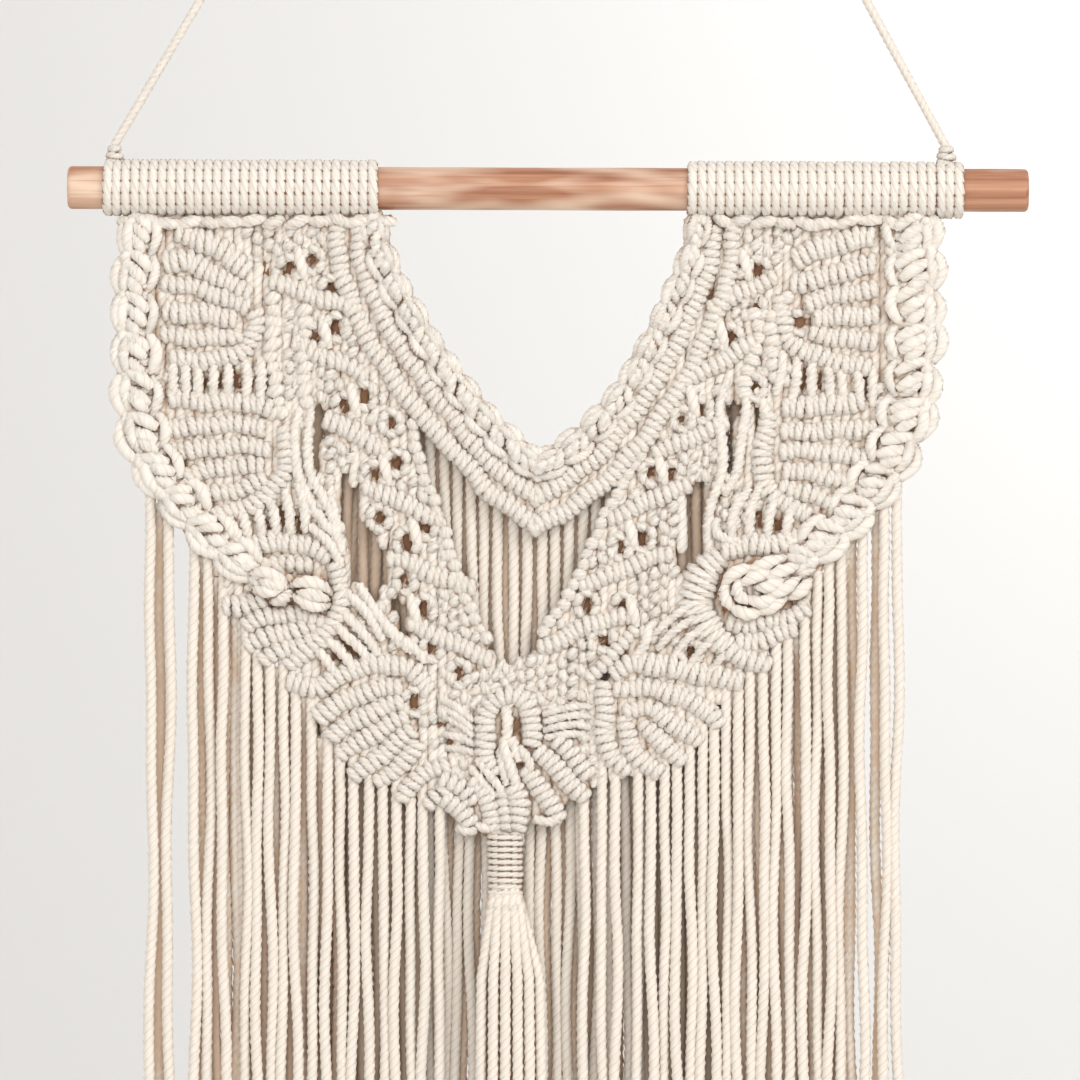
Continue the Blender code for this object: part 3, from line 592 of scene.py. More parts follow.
# knots of the hanging cord: turns on the dowel, then a lump of tight turns
knotLook = {"turnPitch": 2.9, "lumpPitch": 2.3, "wander": 0.04, "loop": (3.4, 1.45, 1.0, 12, 6, 4),
            "lump": ((-0.4, 2.6, 0.9), (0.3, 0.0, 1.05), (0.1, -2.2, 0.8))}     # x, d and size
cordKnots = [                                   # the x of the turns' ends, the lump's place and half width
    ("cord_knot_left", "cordKnotLeft", (-153.2, -150.3), (-151.5, -11.8), 3.3),
    ("cord_knot_right", "cordKnotRight", (137.8, 143.8), (139.6, -11.5), 3.6),
]
for seed, (node, name, ends, (x, d), half) in enumerate(cordKnots, 21):
    lump = [(spot(x + shift, 0, d + drop), size) for shift, drop, size in knotLook["lump"]]
    knotTurn = {**turnLook, "pitch": knotLook["turnPitch"], "wander": knotLook["wander"]}
    lumpTurn = {**knotTurn, "pitch": knotLook["lumpPitch"], "loop": (half, *knotLook["loop"])}
    dress(joined(name, [hitchRow("knotTurns", [rodLine(ends)], knotTurn, seed),
                        hitchRow("knotLump", [lump], lumpTurn, seed)]), node)

# hanging cord: straight legs and a tight bend over the hook
cordLook = {"radius": 1.72, "feet": ((-151.5, -15.2), (139.6, -14.8)), "hook": -1.7, "bend": 5.0,
            "legSteps": 30, "bendSteps": 6, "liftReach": 60.0}
hook = Vector((0, cordLook["hook"] - rodDrop))
footLeft, footRight = [Vector(foot) for foot in cordLook["feet"]]
bendLeft = hook + (footLeft - hook).normalized() * cordLook["bend"]
bendRight = hook + (footRight - hook).normalized() * cordLook["bend"]
legParts = [k / cordLook["legSteps"] for k in range(cordLook["legSteps"] + 1)]
bendParts = [k / cordLook["bendSteps"] for k in range(1, cordLook["bendSteps"])]
route = [footLeft.lerp(bendLeft, t) for t in legParts]
route += [bendLeft.lerp(hook, t).lerp(hook.lerp(bendRight, t), t) for t in bendParts]
route += [bendRight.lerp(footRight, t) for t in legParts]
lift = hook.y - route[len(route) // 2].y        # the bend cuts the corner, so it is lifted to the hook
lifted = [p.y + lift * max(0.0, 1 - (p - hook).length / cordLook["liftReach"]) for p in route]
line = [(spot(p.x, 0, d), 1.0) for p, d in zip(route, lifted)]
dress(twistedCord("hangingCordTwist", [line], cordLook["radius"], "hanging", 5, cordLoose), "hanging_cord")
print("turns, knots and hanging cord made")

# a braid's repeat: radius, then rows of across (1 is the outer edge), along and depth
braidUnit = [
    (1.05, [(-0.58, -0.02, -2.2), (-0.86, 0.30, -3.4), (-0.80, 0.64, -3.4), (-0.50, 0.98, -2.2)]),
    (1.15, [(0.46, -0.08, -2.8), (0.00, 0.04, -4.6), (-0.52, 0.32, -2.8)]),
    (1.15, [(0.48, 0.22, -3.0), (0.08, 0.36, -5.0), (-0.40, 0.64, -3.0)]),
    (1.15, [(0.46, 0.52, -2.8), (0.16, 0.66, -4.8), (-0.18, 0.94, -2.8)]),
    (1.05, [(0.46, -0.04, -2.4), (0.60, 0.26, -4.6), (0.66, 0.60, -4.6), (0.46, 0.98, -2.4)]),
    (1.15, [(0.72, 0.02, -1.8), (0.96, 0.30, -3.2), (0.94, 0.62, -3.2), (0.64, 1.02, -2.0)]),
    (1.00, [(0.42, 0.76, -2.6), (0.66, 1.00, -3.2), (0.52, 1.26, -2.6)]),
]
braidLook = {"shift": (0.09, 0.08, 0.7), "girth": (0.86, 1.06),    # how much one turn differs from the next
             "end": 0.8, "dive": 5.5, "narrowing": 0.5}            # how a side braid goes under at its end
braidLooks = {                                  # side -1 turns the outer edge towards the neck
    "braid": {"pitch": 13.4, "girth": 2.05, "side": 1, "dive": 1.0},
    "neck": {"pitch": 11.4, "girth": 1.75, "side": -1, "dive": 0.0}}
# hitched rows: the loop, then depth of the row and width of a loop that is not scaled
rowLooks = {
    "bars": {"loop": (4.2, 3.6, 1.85, 1.0, 12, 6, 4), "pitch": 2.6, "lean": 0.12, "wander": 0.10,
             "uneven": 0.10, "depth": -1.1, "width": 7.6},
    "ribs": {"loop": (4.1, 3.6, 1.85, 1.02, 12, 6, 4), "pitch": 2.7, "lean": 0.10, "wander": 0.06,
             "uneven": 0.06, "depth": -1.2, "width": 7.6},
    "knobs": {"loop": (3.6, 3.4, 2.3, 1.1, 10, 6, 3), "pitch": 3.9, "lean": 0.34, "wander": 0.26,
              "uneven": 0.26, "depth": -1.0, "width": 6.0},
    "slants": {"loop": (3.9, 3.6, 1.8, 1.0, 12, 6, 4), "pitch": 2.5, "lean": 0.15, "wander": 0.1,
               "uneven": 0.1, "depth": -1.1, "width": 7.8},
}
coreLook = {"loop": (4.4, 2.4, 1.8, 1.1, 12, 5, 5), "pitch": 3.4, "lean": 0.0, "wander": 0.05,
            "uneven": 0.09, "braid": (-1.5, 11.5), "neck": (-1.0, 7.8)}     # depth and unscaled width
rowStep = 1.0                                   # between the points of a guide line
rowSway = 0.45                                  # how far a hitched row strays from its table


def braidLines(path, look, side):               # the repeat laid along a path of (x, d, width)
    step = 0.8
    fine = smoothRows(path, step)
    count = round((len(fine) - 1) * step / look["pitch"])
    lines = {}
    for number in range(count):
        for radius, rows in braidUnit:
            line = []
            shift = [dice.uniform(-most, most) for most in braidLook["shift"]]
            thick = dice.uniform(*braidLook["girth"])
            samples = smoothRows([(0.02 * k, along + shift[0], across + shift[1], y + shift[2])
                                  for k, (across, along, y) in enumerate(rows)], 0.12)
            for turn, p in enumerate(samples):
                swell = 0.6 + 0.5 * math.sin(math.pi * (turn + 0.3) / (len(samples) - 0.4)) ** 0.7
                reach = min(max((number + p.y) / count, 0.0), 1.0) * (len(fine) - 1)
                k = min(int(reach), len(fine) - 2)
                here = fine[k].lerp(fine[k + 1], reach - k)
                heading = (fine[k + 1] - fine[k]).xy.normalized()
                late = max(0.0, number + p.y - count + braidLook["end"])
                outward = p.z * here.z / 2 * side * (1.0 - braidLook["narrowing"] * late * look["dive"])
                line.append((spot(here.x + heading.y * outward,
                                  p.w + braidLook["dive"] * late * look["dive"],
                                  here.y - heading.x * outward), swell * thick))
            lines.setdefault(radius * look["girth"], []).append(line)
    return lines


def inside(corners, x, d):                      # is the point within the outline
    found = False
    for (x0, d0), (x1, d1) in zip(corners, corners[1:] + corners[:1]):
        if (d0 > d) != (d1 > d) and x < x0 + (x1 - x0) * (d - d0) / (d1 - d0):
            found = not found
    return found


def clearOf(taken, x, d):                       # is the point outside every circle of (x, d, reach)
    return all(math.hypot(x - px, d - pd) > reach for px, pd, reach in taken)


swellTo = 1.1                                   # girth at the middle of a short knot
singleLook = {"across": 0.3, "deep": 0.25, "end": 0.72, "middle": 0.32}     # wander, then girth


def swollen(row, ends):                         # a row of (x, d, depth) as a line that swells at its middle
    samples = smoothRows(row, 0.9)
    return [(spot(p.x, p.z, p.y),
             ends + (swellTo - ends) * math.sin(math.pi * k / (len(samples) - 1)))
            for k, p in enumerate(samples)]


def crooked(row):                               # a row of (x, d, depth) as a slightly uneven guide line
    turn = dice.uniform(0, 6)
    samples = smoothRows(row, 1.0)
    line = []
    for k, p in enumerate(samples):
        x = p.x + singleLook["across"] * math.sin(1.3 * k + turn)
        deep = p.z + singleLook["deep"] * math.sin(0.9 * k + 2 * turn)
        swell = math.sin(math.pi * (k + 0.3) / (len(samples) - 0.4)) ** 0.4
        size = singleLook["end"] + singleLook["middle"] * swell
        line.append((spot(x, deep, p.y), size))
    return line


bumpLook = {"spacing": 7.4, "d": 11.6, "across": 1.2, "down": 0.8, "tilt": 1.8, "half": (3.0, 4.8)}


def topBumps(span):                             # the bumps under the turns on the dowel
    look = bumpLook
    lines = []
    for k in range(round((span[1] - span[0]) / look["spacing"])):
        x = span[0] + look["spacing"] * (k + 0.5) + dice.uniform(-look["across"], look["across"])
        d = look["d"] + dice.uniform(-look["down"], look["down"])
        tilt = dice.uniform(-look["tilt"], look["tilt"])
        half = dice.uniform(*look["half"])
        lines.append([(x - half, d - tilt, -1.4), (x - 1.2, d - tilt * 0.4, -3.2),
                      (x + 1.2, d + tilt * 0.4, -3.4), (x + half, d + tilt, -1.6)])
        lines.append([(x - 3.2, d + 1.0, 1.8), (x, d, 2.6), (x + 3.2, d - 1.0, 1.8)])
    return lines


netShape = ((-1.4, -5.5, -1.2), (-0.4, -1.5, -2.8), (0.4, 1.5, -2.8), (1.4, 5.5, -1.2))


def netCords(pairs):                            # a raised cord between the two eyes of a pair
    lines = []
    for (leftX, leftD), (rightX, rightD) in pairs:
        x = (leftX + rightX) / 2
        d = (leftD + rightD) / 2
        lines.append([(x + across, d + down, deep) for across, down, deep in netShape])
    return lines


ringLook = {"turns": 6, "uneven": 0.15, "across": 2.1, "down": 1.7, "length": (1.9, 2.3), "rise": 1.4,
            "high": (-2.8, -1.8), "room": 1.9, "overlap": 0.6, "knotRoom": 2.6, "step": 1.5}


def eyeRings(panel):                            # turns lying round each eye of the net
    look = ringLook
    lines = []
    taken = [(p.x, p.y, p.z / 2 - look["overlap"]) for kind in rowLooks
             for row in panel[kind] for p in smoothRows(row, look["step"])]
    for x, d, width, height, _ in panel["net"]:
        for k in range(look["turns"]):
            angle = math.tau * (k + 0.5) / look["turns"] + dice.uniform(-look["uneven"], look["uneven"])
            u = (width / 2 + look["across"]) * math.cos(angle)
            v = (height / 2 + look["down"]) * math.sin(angle)
            across = -math.sin(angle) * look["length"][0]
            down = math.cos(angle) * look["length"][1]
            deep = dice.uniform(*look["high"])
            low = deep + look["rise"]
            if clearOf(taken, x + u, d + v):
                lines.append([(x + u - across, d + v - down, low), (x + u * 1.06, d + v * 1.06, deep),
                              (x + u + across, d + v + down, low)])
                taken.append((x + u, d + v, look["room"]))
    return lines


fillLook = {"top": 15.0, "foot": 222, "columnStep": 3.6, "rowStep": 4.6, "stagger": 2.3, "half": 1.7,
            "lean": (0.3, 1.5), "high": (-2.5, -1.5), "low": -0.6,
            "room": {"bars": 2.4, "ribs": 0.8, "knobs": 0.2, "slants": 0.2}}


def isOpen(holes, x, d):                        # does the point lie in one of the holes
    return any(inside(hole, x, d) for hole in holes)


def fillKnots(panel, rings):                    # short leaning turns where no bar and no opening lies
    look = fillLook
    taken = [(p.x, p.y, p.z / 2 + room) for kind, room in look["room"].items()
             for row in panel[kind] for p in smoothRows(row, ringLook["step"])]
    taken += [(middle[0], middle[1], ringLook["knotRoom"]) for _, middle, _ in rings]
    lines = []
    column = 0
    x = panel["columns"][0] + 1.5
    while x < panel["columns"][1]:
        d = look["top"] + (column % 2) * look["stagger"]
        while d < look["foot"]:
            lean = (1 if column % 2 else -1) * dice.uniform(*look["lean"])
            middle = x + dice.uniform(-0.5, 0.5)
            high = dice.uniform(*look["high"])
            rows = [(middle - lean, d - look["half"], look["low"]), (middle, d, high),
                    (middle + lean, d + look["half"], look["low"])]
            free = all(inside(panel["web"], px, pd) and not isOpen(panel["holes"], px, pd)
                       for px, pd, _ in rows)
            if free and clearOf(taken, x, d):
                lines.append(rows)
            d += look["rowStep"] + dice.uniform(-0.3, 0.3)
        x += look["columnStep"]
        column += 1
    return lines


rearLook = {"radius": 2.4, "columnStep": 3.4, "top": 7.5, "step": 1.0, "rows": 228, "floor": 1.9,
            "pressed": 2.3, "fewest": 4, "end": 0.55, "taper": 0.2,
            "steepest": 50}                     # degrees; the shade floor of an eye that leans more is upright


def eyeFloors(eyes):                            # dark cords in painted shade, set behind the eyes where only shade shows
    lines = []
    for x, d, width, height, lean in eyes:
        slope = math.tan(math.radians(lean)) if abs(lean) < rearLook["steepest"] else 0.0
        half = height / 2 + 0.6
        girth = (width / 2 + 1.1) / rearLook["radius"]
        lines.append([(spot(x + slope * part * half, rearLook["floor"], d + part * half), girth)
                      for part in (-1.0, 0.0, 1.0)])
    return twistedCord("eyeFloors", lines, rearLook["radius"], "behind", 37, cordEyeShade)


def backing(panel):                             # upright strands behind the knots, clear of the openings
    look = rearLook
    lines = []
    x = panel["columns"][0]
    while x < panel["columns"][1]:
        plain = 0.3 + 0.25 * math.sin(x * 2.1)
        run = []
        for row in range(look["rows"] + 1):
            d = look["top"] + look["step"] * row
            if row < look["rows"] and inside(panel["web"], x, d) and not isOpen(panel["slots"], x, d):
                deep = look["pressed"] if isOpen(panel["eyes"], x, d) else plain
                run.append(spot(x + 0.3 * math.sin(d / 7 + x), deep, d))
            else:
                if len(run) >= look["fewest"]:
                    lines.append([(point, min(1.0, look["end"] + look["taper"] * min(k, len(run) - 1 - k)))
                                  for k, point in enumerate(run)])
                run = []
        x += look["columnStep"]
    return twistedCord("backing", lines, look["radius"], "behind", 13)


eyeRoom = (2.4, 2.0)                            # added to an eye's width and height for the strands


def eyeOutline(x, d, width, height, lean):      # the four corners of an eye
    lean = math.radians(lean)
    outline = []
    for across, down in ((-0.5, -0.5), (0.5, -0.5), (0.5, 0.5), (-0.5, 0.5)):
        u = across * (width + eyeRoom[0])
        v = down * (height + eyeRoom[1])
        outline.append((x + u * math.cos(lean) + v * math.sin(lean),
                        d - u * math.sin(lean) + v * math.cos(lean)))
    return outline


shortKnots = {"ring": (1.9, 0.78), "fill": (1.95, 0.78), "net": (2.0, 0.78), "top": (2.2, 0.78),
              "bean": (2.45, 0.45)}             # radius, and the girth of the ends


def makePanel(panel):                           # every part of one knotted half
    panel["eyes"] = [eyeOutline(*eye) for eye in panel["net"] + panel["gaps"]]
    panel["holes"] = panel["slots"] + panel["eyes"]
    made = []
    for kind, look in rowLooks.items():
        lines = rowLines(panel[kind], look["depth"], rowStep, look["width"], rowSway)
        made.append(hitchRow(kind, lines, {**look, "lean": look["lean"] * panel["side"]}, 31))
    lines = []
    for kind in braidLooks:
        deep, width = coreLook[kind]
        lines += rowLines([panel[kind]], deep, rowStep, width)
    made.append(hitchRow("core", lines, coreLook, 7))
    for kind, look in braidLooks.items():
        for radius, lines in braidLines(panel[kind], look, panel["side"] * look["side"]).items():
            made.append(twistedCord("braid", lines, radius, "braid", 3))
    for radius, rows in panel["cords"].items():
        made.append(twistedCord("cords", [crooked(row) for row in rows], radius, "single", 9))
    rings = eyeRings(panel)
    knots = {"ring": rings, "fill": fillKnots(panel, rings), "net": netCords(panel["pairs"]),
             "top": topBumps(panel["top"]), "bean": panel["beans"]}
    for kind, rows in knots.items():
        radius, ends = shortKnots[kind]
        made.append(twistedCord("knots", [swollen(row, ends) for row in rows], radius, "knot", 29))
    made.append(eyeFloors(panel["net"] + panel["gaps"]))
    made.append(backing(panel))
    return made


# panel tables in millimetres: a bar, rib, slant, knob or braid is rows of (x, d, width)
leftPanel = {
    "node": "panel_left",
    "side": -1,
    "bars": [
        [(-129, 15.5, 8.5), (-124, 17, 9.5), (-116, 20, 9.5), (-110, 24, 9), (-106, 28, 8.5)],
        [(-133, 25, 9), (-125, 25.5, 9), (-120, 28, 8.5), (-113, 32, 7.5), (-105.5, 36, 7)],
        [(-134, 33, 7), (-126, 33.8, 7), (-120, 35.5, 7), (-113, 38, 7), (-105, 41, 7)],
        [(-133, 43, 8), (-125, 43.5, 8.5), (-117, 44, 8), (-110, 45.5, 7.5)],
        [(-134, 51, 7), (-125, 52, 7), (-116, 52, 7), (-108.5, 51.3, 6.5)],
        [(-102.5, 44, 7), (-102, 50, 7.5), (-105.5, 56, 7.5), (-113, 59, 7.5), (-121, 60.2, 7),
         (-131, 59.5, 7)],
        [(-131, 73, 7.5), (-120, 74.5, 7.5), (-110, 74.5, 7.5), (-101, 75.3, 7.5), (-96, 78.5, 7.5)],
        [(-132, 83.5, 7.5), (-125, 83.5, 7.5), (-115, 82.5, 7.5), (-105, 82.5, 7.5), (-99.5, 83.5, 7)],
        [(-130, 91.5, 7), (-120, 91, 7.5), (-110, 90, 7), (-102, 90, 7), (-97.5, 91, 6.5)],
        [(-125, 100, 7), (-116, 98, 7.5), (-108, 97, 7), (-100.5, 97, 7)],
        [(-121, 106.5, 7), (-113, 106.5, 7), (-106, 104.5, 7), (-100, 102, 7)],
        [(-92.3, 84, 6.5), (-91, 92, 7.5), (-92.5, 100, 7.5), (-98, 107, 7.5), (-106, 111.3, 7.5),
         (-114, 114, 7)],
        [(-106, 125, 7), (-100, 124, 8), (-90, 123.8, 8), (-82.5, 125.2, 7.5), (-77.5, 129, 7)],
        [(-101, 131.5, 6.5), (-92, 131.2, 6.5), (-83.5, 131.5, 6.5)],
        [(-112, 145.5, 8), (-105, 145.8, 8), (-99.5, 143.5, 7)],
        [(-104.5, 152.5, 7), (-97, 149.5, 7.5), (-89, 149, 7), (-83.5, 149.5, 7), (-79, 151, 6)],
        [(-104, 159, 7.5), (-96, 156.5, 8), (-89, 154.5, 8), (-83, 153.5, 6)],
        [(-99, 164.5, 7), (-93.5, 161.5, 7.5), (-87, 159.5, 7.5), (-80.5, 157, 7)],
        [(-74.5, 132, 7), (-72.2, 139, 7.5), (-72.5, 147, 8), (-76, 154, 8), (-83, 160.5, 8),
         (-90, 166.5, 7.5)],
        [(-89, 172.5, 8), (-80, 174.5, 8), (-74, 171.5, 8), (-68, 168, 8), (-60, 166.3, 8), (-52, 166.7, 8),
         (-46, 169.5, 8), (-41.5, 175, 8)],
        [(-79.5, 184, 9), (-73, 180.5, 8.5), (-67, 177.3, 8), (-60, 175, 7.5), (-52.5, 174, 7)],
        [(-75, 191.3, 7), (-70, 188, 7.5), (-65, 185, 8), (-59, 182, 7.5), (-51.5, 179.5, 7)],
        [(-71.5, 197.5, 7), (-66, 194, 7.5), (-61, 190.5, 8), (-56, 187.7, 7.5), (-49.5, 185, 7)],
        [(-67, 205, 6.5), (-62, 201.3, 7.5), (-57, 197.5, 8), (-52.5, 193.8, 7.5), (-48, 190, 7)],
        [(-59.5, 207.5, 6), (-54, 204, 7), (-49.5, 200, 7.5), (-46, 195, 7.5)],
        [(-50.5, 212.5, 7), (-46.5, 207.5, 7.5), (-41.5, 203.5, 7.5), (-35.5, 201.5, 6.5)],
        [(-41.5, 215.5, 6.5), (-37.5, 211.5, 7.5), (-33.2, 208, 7)],
    ],
    "slants": [
        [(-95.2, 32, 8), (-87, 35.5, 8.5), (-78.8, 38.5, 8), (-70, 41, 7)],
        [(-87, 54, 8), (-80, 58, 8.5), (-73.2, 60.5, 8), (-64, 65, 7)],
        [(-76.7, 80.5, 8), (-70, 84, 9), (-63.5, 87.8, 8.5), (-57, 91, 7)],
        [(-64, 104.8, 7), (-57, 106.7, 8), (-50.8, 109.5, 8.5), (-44, 113, 8), (-38, 116, 7)],
        [(-54.5, 129, 7), (-47, 131, 8), (-39.6, 135, 8.5), (-33, 137.5, 8), (-26.6, 139, 7)],
        [(-47.3, 152.5, 7), (-41, 155, 8), (-35.7, 157.8, 8), (-28, 161, 7.5), (-20, 164.5, 7)],
    ],
    "ribs": [
        [(-66, 14, 7), (-65.2, 24, 7.6), (-62, 34, 7.8), (-58, 43, 7.8), (-53.5, 51.5, 7.8),
         (-48.5, 59, 7.8), (-43, 67, 7.8), (-36.5, 75, 7.8), (-30, 83.6, 7.6), (-20, 95.6, 7.6),
         (-11, 102.8, 7.6), (-2.4, 108.6, 7.6)],
        [(-73.5, 14, 7), (-73, 25, 7.4), (-70, 35.5, 7.6), (-66, 45.5, 7.6), (-61.5, 54.5, 7.6),
         (-56, 63, 7.6), (-50, 71.5, 7.6), (-43.5, 79.5, 7.6), (-36.5, 87.5, 7.4), (-29, 95.5, 7.4),
         (-20, 106, 7.4), (-11, 112.6, 7.4), (-2.4, 118.2, 7.4)],
    ],
    "knobs": [
        [(-96, 38, 6.5), (-96, 48, 6.5), (-96.5, 58, 7), (-95, 68, 6.5), (-93, 78, 6)],
        [(-84.5, 43, 6), (-85.5, 56, 6.5), (-85, 66, 7), (-84.5, 75, 6)],
        [(-47.5, 82, 4.2), (-44.2, 97, 4.4), (-39, 111, 4.4), (-35.4, 122, 4.4), (-32, 133, 4.4),
         (-28, 145, 4.4), (-21.5, 157, 4.2)],
    ],
    "braid": [(-142, 9.5, 12), (-142.5, 22, 14), (-143.8, 36, 14.5), (-144, 50, 15), (-143, 64, 16.5),
              (-142.5, 76, 17), (-140, 88, 16.5), (-135, 99, 16), (-128, 108, 16), (-120, 117, 15),
              (-111.5, 126, 14), (-103, 132.5, 13), (-95, 137.5, 12), (-89, 140.5, 10)],
    "neck": [(-61, 9.5, 8), (-59.5, 20, 9), (-55.8, 30, 9.5), (-50.8, 40, 9.5), (-44.8, 50, 9.5),
             (-38.5, 60, 9.5), (-32.5, 68.5, 9.5), (-25, 77.6, 9.5), (-17, 86.6, 9.8), (-9, 93.8, 9.6),
             (-2.4, 98.8, 9)],
    # outlines of the cloth and of the long slots in it, as (x, d)
    "web": [(-141, 7), (-64, 7), (-60, 20), (-51, 40), (-38.5, 60), (-25, 77), (-9, 94), (-2.0, 99),
            (-2.0, 120), (-10, 116), (-20, 109), (-30, 97), (-40, 86), (-47, 79), (-44, 96), (-38, 111),
            (-33, 129), (-26, 151), (-20, 161), (-11, 167), (-11, 184), (-27, 184), (-27, 220), (-46, 214),
            (-54, 208), (-66, 204), (-80.5, 188), (-84, 176), (-98, 163), (-105.5, 156), (-109.5, 147),
            (-114, 137), (-127, 119), (-138, 104), (-142, 92), (-143, 60), (-142, 30)],
    "slots": [
        [(-82.5, 76), (-78.5, 76), (-77, 79), (-77, 86), (-79, 90), (-80, 99.5), (-81.5, 99.5)],
        [(-73.8, 101), (-69.5, 100), (-64.5, 110), (-64, 117), (-58.6, 122), (-56, 129), (-55.8, 136),
         (-60.5, 145.5), (-64.5, 142.5), (-69.5, 132.5), (-71.5, 117)],
        [(-54, 144.5), (-50.5, 144.5), (-48.6, 155.5), (-52.6, 153)],
    ],
    # eyes of the net, then gaps between cords: x, d, width, height, lean in degrees
    "net": [
        (-90, 28, 2.6, 4.6, -15), (-82, 25, 2.6, 4.4, 0), (-81.8, 52, 3.4, 5.2, -15),
        (-73.6, 48.5, 3.6, 4.6, 0),
        (-75.5, 35, 2.6, 4.4, 0), (-71, 76.5, 2.8, 5.6, 20), (-64, 72.3, 3.6, 5.0, 0),
        (-60.3, 100, 2.8, 4.4, 15),
        (-52.7, 96, 3.2, 4.4, 0), (-49, 123.5, 3.0, 5.2, 20), (-42.6, 117.5, 3.2, 5.6, 0),
        (-43, 147, 2.6, 5.6, 0),
        (-49.5, 136.8, 2.4, 4.6, 30), (-54.5, 82, 2.4, 4.0, 0), (-58.5, 115, 2.8, 4.6, 0),
        (-46.4, 179.5, 3.0, 4.8, 10),
        (-30.8, 169.5, 2.4, 5.0, 15), (-40.5, 161, 2.2, 3.8, 20),
    ],
    "gaps": [
        (-98.5, 28, 1.8, 5.5, 18), (-119.6, 68, 2.2, 4.4, 0), (-114, 67, 1.8, 5.2, 0),
        (-108.6, 67, 2.4, 6.4, 8),
        (-97.7, 66.5, 2.4, 4.6, 0), (-97.4, 117.5, 1.8, 5.6, 10), (-92.6, 114.5, 3.0, 8.4, 20),
        (-87, 117, 2.2, 6.4, 15),
        (-68, 160.5, 3.0, 5.6, 45), (-73, 163.5, 2.0, 5.2, 38), (-33.4, 194.3, 3.0, 4.8, 50),
        (-36.6, 187.2, 2.2, 4.4, 70),
    ],
    # pairs of eyes with a raised cord between them
    "pairs": [((-90, 28), (-82, 25)), ((-82, 52), (-73, 48)), ((-71, 76), (-64, 72)),
              ((-60, 100), (-53, 96)), ((-49, 124), (-43, 117)), ((-50, 148), (-43, 147))],
    # the x where the bumps under the dowel and the upright columns begin and end
    "top": (-150.5, -57.5),
    "columns": (-142.0, -1),
    # single cords by radius, and the fat turns where the side braid ends, as (x, d, depth)
    "cords": {
        2.2: [
            [(-130.5, 60, -1.5), (-130.8, 66, -2.6), (-130.3, 73, -1.5)],
            [(-126.2, 60, -1.5), (-126.4, 66, -2.6), (-126, 73, -1.5)],
            [(-122, 61, -1.5), (-122, 66.5, -2.8), (-121.8, 73, -1.5)],
            [(-116.8, 61, -1.5), (-116.6, 67, -2.8), (-116.8, 73, -1.5)],
            [(-111.6, 60.5, -1.5), (-111.4, 66.5, -2.8), (-111.8, 73, -1.5)],
            [(-105.3, 60, -1.5), (-104.8, 66.5, -2.8), (-105.4, 73.5, -1.5)],
            [(-100.2, 59, -1.5), (-99.8, 66, -2.8), (-100.4, 73.5, -1.5)],
            [(-112, 114, -1.6), (-109.5, 118.5, -2.8), (-107, 124, -1.6)],
            [(-107, 112, -1.6), (-105.5, 117, -2.8), (-104.5, 123, -1.6)],
            [(-101.8, 110, -1.6), (-100.3, 116, -2.8), (-99.5, 122, -1.6)],
            [(-98, 107, -1.6), (-95.5, 113, -2.8), (-94.8, 121, -1.6)],
            [(-91.8, 105, -1.6), (-90.2, 113, -2.8), (-89.6, 121, -1.6)],
            [(-87.5, 102, -1.6), (-85, 110, -2.8), (-84.4, 120, -1.6)],
            [(-86.3, 76, -1.0), (-88.3, 86, -2.4), (-87.6, 97, -2.4), (-84.5, 106, -2.0),
             (-80.5, 114, -1.8), (-77, 122, -1.4)],
            [(-82.5, 75, -0.6), (-83.6, 86, -1.8), (-83.2, 98, -2.0), (-79.5, 106, -2.4),
             (-75.5, 114, -2.4), (-74, 124, -2)],
            [(-76, 100, -0.4), (-75.6, 108, -1.4), (-73.6, 118, -2), (-72.2, 127, -2)],
            [(-80, 113, -2), (-78, 117, -3.2), (-73.5, 121, -2.6), (-71.5, 128, -1.6)],
            [(-83, 117.5, -2), (-79.5, 120.8, -3), (-75, 125.5, -2.8), (-71.8, 132, -2)],
            [(-72, 140, -2), (-66, 145, -3.2), (-61, 151, -3.2), (-57.5, 158, -2)],
            [(-73, 146, -2), (-68, 151.5, -3.2), (-62.5, 157.5, -3.2), (-59, 163, -2)],
            [(-75, 151.5, -2), (-70.5, 156, -3.4), (-64.5, 161.5, -3.2), (-62.5, 166, -2)],
            [(-78, 157, -2), (-73.5, 160.5, -3.2), (-69, 165.5, -3), (-68, 169, -2)],
            [(-81, 160.5, -2), (-77, 165, -3.2), (-74, 170, -2.4)],
            [(-66, 138, -1), (-61.5, 145.5, -2.6), (-57, 151.5, -3.2), (-52.5, 157.5, -2.8),
             (-47, 162, -2)],
            [(-60, 148, -1), (-55.5, 153.5, -2.6), (-51, 157.5, -3), (-46, 161, -2.6), (-42.5, 166, -2)],
        ],
    },
    "beans": [
        [(-104, 134.6, -4), (-98, 134.2, -6.6), (-92.6, 137.4, -5.8), (-90.4, 141, -3.4)],
        [(-103, 139.6, -4), (-97, 140.8, -6.6), (-91.4, 139.2, -4.6)],
        [(-96.6, 144.6, -3.2), (-92, 143.4, -5.6), (-89.2, 140.2, -4)],
        [(-90, 138.8, -4.4), (-84, 137.4, -7), (-78, 139, -6.2), (-75.6, 142, -3)],
        [(-89.2, 141.8, -4.4), (-84, 144.8, -6.4), (-79, 146.4, -5.4), (-76, 145.4, -2.8)],
        [(-87.4, 141.2, -5.6), (-81.6, 142, -7.6), (-76.2, 143.8, -4)],
        [(-101, 137.2, -5), (-95.6, 138.4, -7.4), (-90.6, 139.8, -4.6)],
    ],
}
